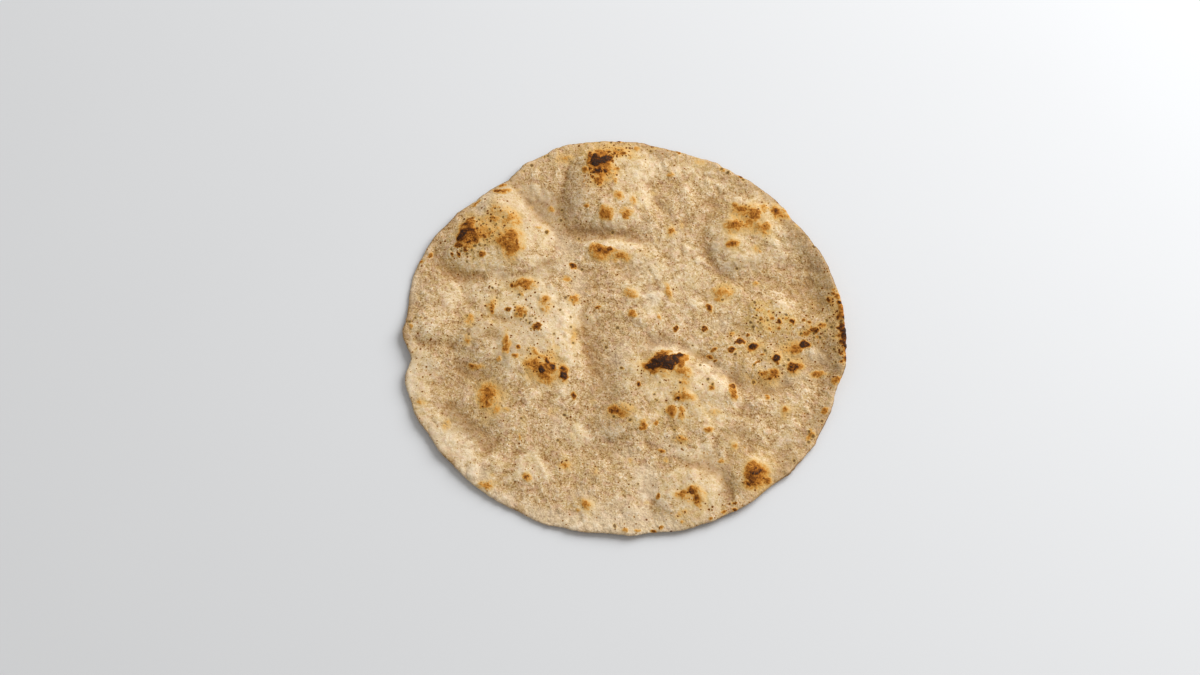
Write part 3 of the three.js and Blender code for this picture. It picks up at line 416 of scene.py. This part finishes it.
def split_facets(points, facets, chosen):
    """The chosen facets become four, those beside them two or three. Vertices move by Loop's smoothing rule."""
    edges, edge_of = edges_of(facets)
    opposite = np.zeros((len(edges), points.shape[1]))
    np.add.at(opposite, edge_of.reshape(-1), points[np.roll(facets, 1, axis=1).reshape(-1)])
    middles = 3 / 8 * (points[edges[:, 0]] + points[edges[:, 1]]) + opposite / 8
    around = np.zeros_like(points)
    np.add.at(around, edges[:, 0], points[edges[:, 1]])
    np.add.at(around, edges[:, 1], points[edges[:, 0]])
    count = np.bincount(edges.reshape(-1), minlength=len(points))[:, None]
    share = (5 / 8 - (3 / 8 + np.cos(2 * np.pi / count) / 4) ** 2) / count
    moved = points * (1 - count * share) + around * share
    is_cut = np.zeros(len(edges), bool)
    is_cut[edge_of[chosen]] = True
    cut = is_cut[edge_of]
    cuts = cut.sum(axis=1)
    # Each facet is turned so that its only cut edge comes first, or its only whole edge last
    turn = np.where(cuts == 1, cut.argmax(axis=1), np.where(cuts == 2, (~cut).argmax(axis=1) + 2, 0))
    order = (turn[:, None] + np.arange(3)) % 3
    a, b, c = np.take_along_axis(facets, order, axis=1).T
    ab, bc, ca = (np.take_along_axis(edge_of, order, axis=1) + len(points)).T
    patterns = (
        [(a, b, c)],
        [(a, ab, c), (ab, b, c)],
        [(a, ab, ca), (ab, b, c), (ab, c, ca)],
        [(a, ab, ca), (ab, b, bc), (ca, bc, c), (ab, bc, ca)],
    )
    made = [np.stack(new, axis=1)[cuts == k] for k, pattern in enumerate(patterns) for new in pattern]
    kept, place = np.unique(np.vstack(made), return_inverse=True)
    return np.vstack([moved, middles])[kept], place.reshape(-1, 3)


def facet_normals(points, facets):
    """The facets' normals, as long as twice their area."""
    a, b, c = (points[facets[:, k]] for k in range(3))
    return np.cross(b - a, c - a)


def normals_of(points, facets):
    """Unit normals at the vertices."""
    across = facet_normals(points, facets)
    total = np.zeros_like(points)
    for k in range(3):
        np.add.at(total, facets[:, k], across)
    return total / np.maximum(np.linalg.norm(total, axis=1, keepdims=True), 1e-12)


def rim_closeness(points):
    """1 at the outline of the bread and 0 from RIM_REACH mm inside it."""
    angles = np.arctan2(points[:, 1], points[:, 0]) + math.pi
    sector = (angles / (2 * math.pi) * RIM_SECTORS).astype(int) % RIM_SECTORS
    radii = np.hypot(points[:, 0], points[:, 1])
    outline = np.zeros(RIM_SECTORS)
    np.maximum.at(outline, sector, radii)
    return smooth(1 - (outline[sector] - radii) / RIM_REACH)


class Marks:
    """Draws marks into fields of values at the points of one face."""

    def __init__(self, x, y, seed):
        self.x, self.y = x, y
        seeds = range(seed, seed + 2 * len(WANDER_CELLS), 2)
        self.sway = [(lumps(x, y, cell, k), lumps(x, y, cell, k + 1)) for k, cell in zip(seeds, WANDER_CELLS)]

    def depth(self, x, y, width, height, turn=0, wander=WANDER):
        """How deep in the mark each point is, in mm, negative outside, and which points are near it."""
        reach = max(width, height) / 2 + MARK_MARGIN
        near = np.flatnonzero((abs(self.x - x) < reach) & (abs(self.y - y) < reach))
        size = math.sqrt(width * height)
        sway_x, sway_y = self.sway[min(int(size / WANDER_STEP), len(WANDER_CELLS) - 1)]
        across = self.x[near] - x + sway_x[near] * wander * size
        along = self.y[near] - y + sway_y[near] * wander * size
        c, s = math.cos(math.radians(turn)), math.sin(math.radians(turn))
        u = (across * c + along * s) / (width / 2)
        v = (along * c - across * s) / (height / 2)
        return near, (1 - np.hypot(u, v)) * min(width, height) / 2

    def draw(self, field, rows, edge, level=None):
        """Raises the field to each mark's level, which is the row's strength where none is given."""
        for x, y, width, height, *rest in rows:
            strength = level or rest.pop(0)
            near, depth = self.depth(x, y, width, height, *rest)
            soft = min(edge, min(width, height) * EDGE_SHARE)
            field[near] = np.maximum(field[near], strength * smooth(depth / soft + 0.5))

    def puff(self, field, rows):
        """Raises the field to a small blister under each mark, in mm."""
        wider = MARK_RISE["wider"]
        for x, y, width, height, *turn in rows:
            near, depth = self.depth(x, y, width * wider, height * wider, *turn, wander=WANDER / 2)
            share = np.clip(depth / (min(width, height) * wider / 2), 0, 1)
            high = min(MARK_RISE["high"] * math.sqrt(width * height), MARK_RISE["most"])
            field[near] = np.maximum(field[near], high * smooth(share * MARK_RISE["steep"]))

    def dot(self, field, rows, width):
        """Raises the field to the depth in each dot, in mm."""
        for x, y in rows:
            near, depth = self.depth(x, y, width, width, wander=DOT_WANDER)
            field[near] = np.maximum(field[near], depth)


def seen_places(points):
    """Where the camera sees the points on the marks' plane, in mm."""
    eye = np.array(Vector(CAMERA_AIM) + direction(-90, CAMERA_ELEVATION) * CAMERA_DISTANCE)
    reach = (eye[2] - PLANE_HEIGHT) / (eye[2] - points[:, 2:])
    return (eye + (points - eye) * reach)[:, :2].T


def placed(rows):
    """Rows of marks with their places moved from the plan to the bread's own frame."""
    return [(x - MIDDLE[0], y - MIDDLE[1], *rest) for x, y, *rest in rows]


def lower_marks(points):
    """Rows of marks of each kind, where these points of the lower face lay on the hot pan."""
    draw = np.random.default_rng(PATCHES["seed"])
    low = points[points[:, 2] < PATCHES["low"]]
    kinds = [[] for _ in KINDS]
    for _ in range(PATCHES["count"]):
        x, y, _ = low[draw.integers(len(low))]
        width = drawn_size(draw, *PATCHES["widths"])
        height = width * draw.uniform(*PATCHES["high"])
        turn = draw.uniform(0, 180)
        darkest = draw.integers(0 if width < PATCHES["wide"] else 1, len(RINGS))
        start, growth = RINGS[darkest]
        for ring, rows in enumerate(kinds[darkest:-1]):
            grown = start + growth * ring
            shift = draw.uniform(-RING_SHIFT, RING_SHIFT, 2) * width
            rows.append((x + shift[0], y + shift[1], width * grown, height * grown, turn))
    return kinds


def upper_fields(points):
    """What is drawn on the upper face, at each of its points, by name."""
    fields = {name: np.zeros(len(points)) for name in ("toast", "blister", *REGIONS)}
    fields["dot"] = np.full(len(points), -DOT_REACH)
    marks = Marks(*seen_places(points), UPPER_SEED)
    for rows, (level, edge) in zip((CHARRED, DARK, BROWN, ORANGE, LIGHT, FAINT), KINDS):
        grown = [(x, y, w * MARK_GROWTH, h * MARK_GROWTH, *turn) for x, y, w, h, *turn in placed(rows)]
        marks.draw(fields["toast"], grown, edge, level)
    for name, (rows, edge) in REGIONS.items():
        marks.draw(fields[name], placed(rows), edge)
    for rows in (DARK, BROWN, ORANGE):
        marks.puff(fields["blister"], placed(rows))
    for width, rows in DOTS.items():
        marks.dot(fields["dot"], placed(rows), width)
    return fields


def lower_fields(points, facing):
    """The same for the lower face, whose skin fades towards the upper one."""
    marks = Marks(points[:, 0], points[:, 1], LOWER_SEED)
    toast = np.zeros(len(points))
    for rows, (level, edge) in zip(lower_marks(points), KINDS):
        marks.draw(toast, rows, edge, level)
    fields = {name: most * smooth(toast * fast) for name, (most, fast) in LOWER_WITH.items()}
    skin = lumps(marks.x, marks.y, LOWER_SKIN["cell"], LOWER_SKIN["seed"]) + LOWER_SKIN["common"]
    return fields | {"toast": toast, "creamy": LOWER_SKIN["strong"] * smooth(skin) * (1 - facing)}


def fields_of(points, normals):
    """What the crust's material reads at each vertex, by name."""
    facing = smooth(normals[:, 2], *UPPER)
    fields = {}
    upper = facing > UPPER_SHARE
    for name, values in upper_fields(points[upper]).items():
        fields[name] = np.full(len(points), -DOT_REACH if name == "dot" else 0.0)
        fields[name][upper] = values
    lower = facing < LOWER_SHARE
    for name, values in lower_fields(points[lower], facing[lower]).items():
        fields[name][lower] = np.maximum(fields[name][lower], values)
    fields["upper"] = facing
    fields["rim"] = rim_closeness(points)
    fields["side"] = fields["rim"] ** 2 * smooth(normals[:, 2], *SIDE)
    return fields


def scattered_blisters(x, y):
    """The height of the small blisters that lie all over, in mm."""
    draw = np.random.default_rng(SCATTERED["seed"])
    height = np.zeros(len(x))
    edge = max(abs(x).max(), abs(y).max())
    for _ in range(SCATTERED["count"]):
        middle = draw.uniform(-edge, edge, 2)
        radius = drawn_size(draw, *SCATTERED["radii"])
        stretch = draw.uniform(*SCATTERED["longer"])
        high = draw.uniform(*SCATTERED["high"]) * radius
        reach = radius / SCATTERED["longer"][0]
        near = np.flatnonzero((abs(x - middle[0]) < reach) & (abs(y - middle[1]) < reach))
        away = np.hypot((x[near] - middle[0]) * stretch, (y[near] - middle[1]) / stretch) / radius
        height[near] = np.maximum(height[near], high * np.sqrt(np.clip(1 - away**2, 0, 1)))
    return height


def curve_through(points):
    """Places along a smooth curve through the points, about CREASE_STEP apart."""
    points = np.array(points, float)
    padded = np.vstack([2 * points[0] - points[1], points, 2 * points[-1] - points[-2]])
    places = []
    for before, start, end, after in zip(padded, padded[1:], padded[2:], padded[3:]):
        t = np.arange(0, 1, CREASE_STEP / np.linalg.norm(end - start))[:, None]
        bend = 2 * before - 5 * start + 4 * end - after
        twist = 3 * (start - end) + after - before
        places.append(start + t * ((end - before) + t * (bend + t * twist)) / 2)
    return np.vstack([*places, points[-1:]])


def crease_depth(x, y):
    """How deep the creases cut, in mm. Each is a sharp valley that fades towards its ends."""
    depth = np.zeros(len(x))
    for deep, wide, *points in CREASES:
        places = curve_through(points) - MIDDLE
        low, high = places.min(axis=0) - CREASE_REACH * wide, places.max(axis=0) + CREASE_REACH * wide
        near = np.flatnonzero((x > low[0]) & (x < high[0]) & (y > low[1]) & (y < high[1]))
        away = np.full(len(near), np.inf)
        strength = np.zeros(len(near))
        steps = np.arange(len(places))
        for place, share in zip(places, smooth(np.minimum(steps, steps[::-1]) / CREASE_FADE)):
            distance = np.hypot(x[near] - place[0], y[near] - place[1])
            strength = np.where(distance < away, share, strength)
            away = np.minimum(away, distance)
        depth[near] += deep * strength * np.exp(-away / wide)
    return depth


def neighbour_mean(values, edges, rounds):
    """The values averaged with their neighbours' along the edges, again and again."""
    count = np.bincount(edges.reshape(-1), minlength=len(values))
    for _ in range(rounds):
        total = np.bincount(edges[:, 0], values[edges[:, 1]], len(values))
        total += np.bincount(edges[:, 1], values[edges[:, 0]], len(values))
        values = (values + total / count) / 2
    return values


def dips_of(points, facets):
    """How far each vertex lies below its surroundings, near and wide, from -1 on a crest to 1 in a dip."""
    edges, _ = edges_of(facets)
    mean, done, found = points[:, 2], 0, {}
    for name, (rounds, depth) in DIPS.items():
        mean, done = neighbour_mean(mean, edges, rounds - done), rounds
        found[name] = np.clip((mean - points[:, 2]) / depth, -1, 1)
    return found


def crusted(points, facets):
    """The vertices moved along their normals by fine lumps, rises and wrinkles, and what the material reads there."""
    normals = normals_of(points, facets)
    fields = fields_of(points, normals)
    x, y, z = points.T
    upper = fields["upper"]
    height = np.maximum(fields.pop("blister"), scattered_blisters(x, y)) - crease_depth(x, y)
    height += relief(x, y, LUMPS) + relief(x, y, PEBBLES, abs)
    for start, full, rise, *rows in WRINKLES:
        height += smooth(fields["toast"], start, full) * (rise + relief(x, y, rows))
    rim = (1 - abs(normals[:, 2])) * relief(x + z, y - z, RIM_LUMPS)
    under = (1 - upper) * relief(x, y, LOWER_LUMPS, abs)
    moved = points + normals * (upper * height + rim - under)[:, None]
    moved[:, 2] = np.maximum(moved[:, 2], 0)
    return moved, fields


def bread_surface():
    """The chapati's fine vertices, in mm, its facets, and what its material reads at each vertex."""
    points, facets = solid_of("chapati")
    points, facets = split_facets(points, facets, np.ones(len(facets), bool))
    across = facet_normals(points, facets)
    points, facets = split_facets(points, facets, across[:, 2] > COARSE_BELOW * np.linalg.norm(across, axis=1))
    moved, fields = crusted(points, facets)
    dips = dips_of(moved, facets)
    browning = np.ptp(fields["toast"][facets], axis=1) > FINE_CHANGE
    dotted = fields["dot"][facets].max(axis=1) > -FINE_DOT
    columns, facets = split_facets(np.column_stack([points, *dips.values()]), facets, browning | dotted)
    points, fields = crusted(columns[:, :3], facets)
    for name, values in zip(dips, columns[:, 3:].T):
        fields[name] = values * fields["upper"]
    return points, facets, fields


def add_object(name, data):
    """A new object of the scene."""
    made = bpy.data.objects.new(name, data)
    bpy.context.scene.collection.objects.link(made)
    return made


def bread_piece():
    """The chapati as one smooth piece whose vertices carry what the material reads."""
    points, facets, fields = bread_surface()
    mesh = bpy.data.meshes.new("bread_crust")
    mesh.vertices.add(len(points))
    mesh.vertices.foreach_set("co", (points * MM).reshape(-1))
    mesh.loops.add(facets.size)
    mesh.loops.foreach_set("vertex_index", facets.reshape(-1))
    mesh.polygons.add(len(facets))
    mesh.polygons.foreach_set("loop_start", np.arange(0, facets.size, 3))
    mesh.polygons.foreach_set("loop_total", np.full(len(facets), 3))
    mesh.update(calc_edges=True)
    mesh.shade_smooth()
    for name, values in fields.items():
        attribute = mesh.attributes.new(name, "FLOAT", "POINT")
        attribute.data.foreach_set("value", values.astype(np.float32))
    return add_object("bread_crust", mesh)


class Finish:
    """A material whose nodes are added by short calls, with sizes in mm."""

    def __init__(self, name):
        self.material = bpy.data.materials.new(name)
        self.material.use_nodes = True
        self.tree = self.material.node_tree
        self.tree.nodes.clear()
        metres = self.node("TexCoord").outputs["Object"]
        self.place = self.node("VectorMath", {0: metres, "Scale": 1 / MM}, operation="SCALE").outputs[0]

    def node(self, kind, values=(), **settings):
        """A shader node. The values are linked to its sockets or set on them, by their names or in their order."""
        made = self.tree.nodes.new("ShaderNode" + kind)
        for key, value in settings.items():
            setattr(made, key, value)
        for key, value in values.items() if isinstance(values, dict) else enumerate(values):
            if isinstance(value, bpy.types.NodeSocket):
                self.tree.links.new(value, made.inputs[key])
            else:
                made.inputs[key].default_value = value
        return made

    def math(self, operation, *values, clamp=False):
        return self.node("Math", values, operation=operation, use_clamp=clamp).outputs[0]

    def times(self, a, b):
        return self.math("MULTIPLY", a, b)

    def plus(self, value, weight, start):
        """The start plus the value times its weight."""
        return self.math("MULTIPLY_ADD", value, weight, start)

    def sum_of(self, parts, start=0.0):
        """The start plus each part times its weight."""
        for value, weight in parts:
            start = self.plus(value, weight, start)
        return start

    def between(self, value, low, high, to_low=0.0, to_high=1.0):
        """A soft step of the value from low to high."""
        values = (value, low, high, to_low, to_high)
        return self.node("MapRange", values, interpolation_type="SMOOTHSTEP").outputs[0]

    def read(self, name):
        return self.node("Attribute", attribute_name=name).outputs["Fac"]

    def shifted(self, shift):
        """The place in mm, moved so that two patterns of one kind differ."""
        return self.node("VectorMath", (self.place, (shift, shift / 2, -shift)), operation="ADD").outputs[0]

    def noise(self, size, detail, shift=0.0):
        """Cloudy noise of about 0 to 1, with clouds of that size."""
        values = {"Vector": self.shifted(shift), "Scale": 1 / size, "Detail": detail}
        return self.node("TexNoise", values).outputs["Fac"]

    def cloud(self, size, detail, shift):
        """The same around 0, mostly from -0.25 to 0.25."""
        return self.math("SUBTRACT", self.noise(size, detail, shift), 0.5)

    def dots(self, spacing, shift):
        """The distance to the nearest of many scattered points, in mm, and a random value for each."""
        made = self.node("TexVoronoi", {"Vector": self.shifted(shift), "Scale": 1 / spacing})
        split = self.node("SeparateColor", [made.outputs["Color"]])
        return self.times(made.outputs["Distance"], spacing), split.outputs[0]

    def mix(self, share, a, b):
        """Colour a with a share of colour b."""
        return self.node("Mix", {"Factor": share, "A": a, "B": b}, data_type="RGBA").outputs["Result"]

    def ramp(self, value, stops):
        """A colour that runs through the stops, each a place from 0 to 1 and a screen colour."""
        made = self.node("ValToRGB", [value])
        elements = made.color_ramp.elements
        while len(elements) < len(stops):
            elements.new(0.5)
        for element, (place, *colour) in zip(elements, stops):
            element.position = place
            element.color = linear(*colour)
        return made.outputs["Color"]

    def shade(self, values):
        """The finished material, of one plain shader with these values."""
        self.node("OutputMaterial", {"Surface": self.node("BsdfPrincipled", values).outputs["BSDF"]})
        return self.material


# Colours on a screen at places from 0 to 1: the grainy dough from its pits to its crumbs, the smooth skin on what is
# puffed, and the browning from light to char, whose greyer last stop is char's colour with a painted sheen
DOUGH_STOPS = (
    (0, 130, 88, 44), (0.25, 172, 134, 86), (0.5, 203, 171, 125), (0.75, 221, 194, 154), (1, 240, 222, 194),
)
SKIN_STOPS = ((0, 170, 132, 80), (0.3, 206, 177, 132), (0.6, 224, 200, 161), (1, 240, 223, 196))
TOAST_STOPS = (
    (0, 224, 194, 142), (0.14, 221, 183, 115), (0.30, 207, 155, 80), (0.44, 186, 124, 49), (0.58, 154, 94, 31),
    (0.72, 118, 68, 22), (0.84, 84, 46, 17), (0.92, 62, 36, 18), (1, 54, 38, 30),
)
PINKISH = linear(212, 172, 144)
OCHRE = linear(194, 166, 106)
PAINTED_HOLLOW_SHADE = linear(158, 116, 70)
SHADE_AND_DARK_DOUGH_TINT = linear(146, 115, 78)
FLOUR_AND_LIGHT_TINT = linear(234, 216, 188)
GOLDEN = linear(208, 171, 98)
RIM_TINT = linear(186, 146, 98)
SIDE_SHADE_AND_BROWNING = linear(124, 92, 62)
SPECK = linear(90, 56, 24)
# Clouds of noise: their size in mm, their detail, and their shift
SAND = (0.62, 2.0, 83)
GRAIN = (1.15, 1.0, 57)
PEBBLY = (2.6, 1.5, 31)
PATCHY = (6.0, 2.0, 7)
HUES = (2.4, 3.0, 131)
# Fine dots: spacing and largest radius in mm, the share left out, how much less it is where stippled, and a shift
BRAN = ((2.1, 0.62, 0.94, 0.55, 0.0), (1.5, 0.56, 0.93, 0.8, 40.0), (1.0, 0.36, 0.89, 0.6, 80.0))
# How browned they are
DOT_BROWNING = 0.76
# How high the finest relief is, in mm
RELIEF = 0.34


def crust():
    """Pale wheat crust, browned and charred where the marks are."""
    finish = Finish("crust")
    mix, between, times, plus, read = finish.mix, finish.between, finish.times, finish.plus, finish.read
    sand, grain, pebbles, patches, hue = (finish.cloud(*row) for row in (SAND, GRAIN, PEBBLY, PATCHY, HUES))
    toast, stipple, dip, flour_and_painted_light, shade_and_dark_dough = map(read, ("toast", "stipple", "dip", "flour_and_painted_light", "shade_and_dark_dough"))

    # Pale crust: grainy dough, and smooth skin on what is puffed, both a little darker in dips as painted shade
    skin = between(finish.sum_of(((dip, -0.3), (pebbles, 0.9), (patches, 0.9)), read("creamy")), 0.1, 0.8)
    rough = finish.sum_of(((sand, 1.65), (grain, 1.1), (pebbles, 0.7), (patches, 0.4), (dip, -0.16)), 0.5)
    even = finish.sum_of(((sand, 1.4), (grain, 0.85), (pebbles, 0.65), (patches, 0.5), (dip, -0.16)), 0.5)
    even = plus(flour_and_painted_light, 0.2, even)
    colour = mix(skin, finish.ramp(rough, DOUGH_STOPS), finish.ramp(even, SKIN_STOPS))

    # Tints over it. The rim is browner in blotches, and its side is darker with painted shade and browning, most
    # where shade is painted, but neither where flour lies nor where light is painted.
    blotches = finish.math("ADD", pebbles, grain)
    outside_flour_and_light = finish.math("MULTIPLY_ADD", flour_and_painted_light, -1.0, 1.0, clamp=True)
    edge = times(read("rim"), between(blotches, -0.2, 0.3, 0.0, 0.55))
    # The rim's side: painted shade with some browning
    side = times(between(plus(grain, 0.8, read("side")), 0.05, 0.6, 0, 0.8), plus(shade_and_dark_dough, 0.6, 0.4))
    tints = (
        (PINKISH, between(hue, 0.0, 0.18, 0, 0.45)),
        (OCHRE, between(hue, -0.02, -0.18, 0, 0.4)),
        # Painted shade: darker and browner in dips and wide hollows
        (PAINTED_HOLLOW_SHADE, between(dip, 0.1, 0.9, 0, 0.3)),
        (PAINTED_HOLLOW_SHADE, between(read("hollow"), 0.1, 0.9, 0, 0.25)),
        # Painted shade, with some darker dough
        (SHADE_AND_DARK_DOUGH_TINT, times(shade_and_dark_dough, 0.45)),
        # Flour, and painted light on rims that face away from the lamp
        (FLOUR_AND_LIGHT_TINT, times(flour_and_painted_light, 0.4)),
        (GOLDEN, times(read("yellow"), between(blotches, -0.2, 0.25, 0.6, 0.1))),
        (RIM_TINT, times(edge, outside_flour_and_light)),
        (SIDE_SHADE_AND_BROWNING, times(side, outside_flour_and_light)),
    )
    for tint, share in tints:
        colour = mix(share, colour, tint)

    # Fine dots all over, which lie dense where the crust is stippled
    dotted = 0.0
    for spacing, largest, rare, dense, shift in BRAN:
        distance, chance = finish.dots(spacing, shift)
        radius = times(between(chance, plus(stipple, -dense, rare), 1.02), largest)
        depth = plus(sand, 0.7, finish.math("SUBTRACT", radius, distance))
        dot = times(between(depth, -0.12, 0.12), between(radius, 0.02, 0.14))
        dotted = finish.math("MAXIMUM", dot, dotted)

    # Browning: the marks crumble a little, and the fine dots are browner than what is round them
    crumble = finish.sum_of(((sand, 0.85), (grain, 0.75), (pebbles, 0.6)))
    strength = times(between(toast, 0.02, 0.3), plus(toast, 0.5, 0.45))
    level = plus(crumble, strength, toast)
    level = finish.math("MAXIMUM", level, times(dotted, DOT_BROWNING), clamp=True)
    colour = mix(between(level, 0.02, 0.34), colour, finish.ramp(level, TOAST_STOPS))

    # The listed dots, each with a golden ring
    ragged = plus(sand, 1.1, read("dot"))
    colour = mix(between(ragged, -0.75, -0.05, 0, 0.5), colour, GOLDEN)
    colour = mix(between(ragged, -0.2, 0.16, 0, 0.8), colour, SPECK)

    # Fine relief, rougher where it is browned and smoother where it is skin
    relief = finish.sum_of(((sand, 0.45), (grain, 0.9), (pebbles, 0.9)))
    height = times(relief, plus(skin, -0.55, plus(level, 0.6, 1.1)))
    bump = finish.node("Bump", {"Height": height, "Distance": RELIEF * MM, "Strength": 1.0})
    return finish.shade({
        "Base Color": colour,
        "Roughness": between(level, 0.6, 0.95, 0.85, 0.65),
        "Specular IOR Level": 0.08,
        "Normal": bump.outputs["Normal"],
    })


def floor_finish():
    """A plain pale floor with hardly visible clouds."""
    finish = Finish("floor")
    light = linear(*FLOOR_COLOUR)
    darker = (*(part * FLOOR_SHADE for part in light[:3]), 1)
    colour = finish.mix(finish.noise(FLOOR_CLOUDS, 2), light, darker)
    return finish.shade({"Base Color": colour, "Roughness": 0.7, "Specular IOR Level": 0.3})


def add_floor():
    half = FLOOR_SIZE / 2 * MM
    mesh = bpy.data.meshes.new("floor")
    mesh.from_pydata([(-half, -half, 0), (half, -half, 0), (half, half, 0), (-half, half, 0)], [], [(0, 1, 2, 3)])
    mesh.materials.append(floor_finish())
    floor = add_object("floor", mesh)


def add_light():
    towards = direction(KEY_AZIMUTH, KEY_ELEVATION)
    lamp = bpy.data.lights.new("key", "AREA")
    lamp.shape = "DISK"
    lamp.size = KEY_SIZE * MM
    lamp.energy = KEY_POWER
    lamp.color = KEY_COLOUR
    key = add_object("key", lamp)
    key.location = towards * KEY_DISTANCE * MM
    key.rotation_euler = towards.to_track_quat("Z", "Y").to_euler()
    world = bpy.data.worlds.new("sky")
    world.use_nodes = True
    background = world.node_tree.nodes["Background"]
    background.inputs["Color"].default_value = (*SKY_COLOUR, 1)
    background.inputs["Strength"].default_value = SKY_STRENGTH
    bpy.context.scene.world = world
    bpy.context.scene.view_settings.view_transform = "Standard"


def add_camera():
    data = bpy.data.cameras.new("camera")
    data.lens = FOCAL_LENGTH
    data.sensor_width = SENSOR_WIDTH
    camera = add_object("camera", data)
    back = direction(-90, CAMERA_ELEVATION)
    camera.location = (Vector(CAMERA_AIM) + back * CAMERA_DISTANCE) * MM
    camera.rotation_euler = back.to_track_quat("Z", "Y").to_euler()
    bpy.context.scene.camera = camera


bread = bread_piece()
bread.data.materials.append(crust())
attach(bread, "root")
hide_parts("chapati")
add_floor()
add_light()
add_camera()
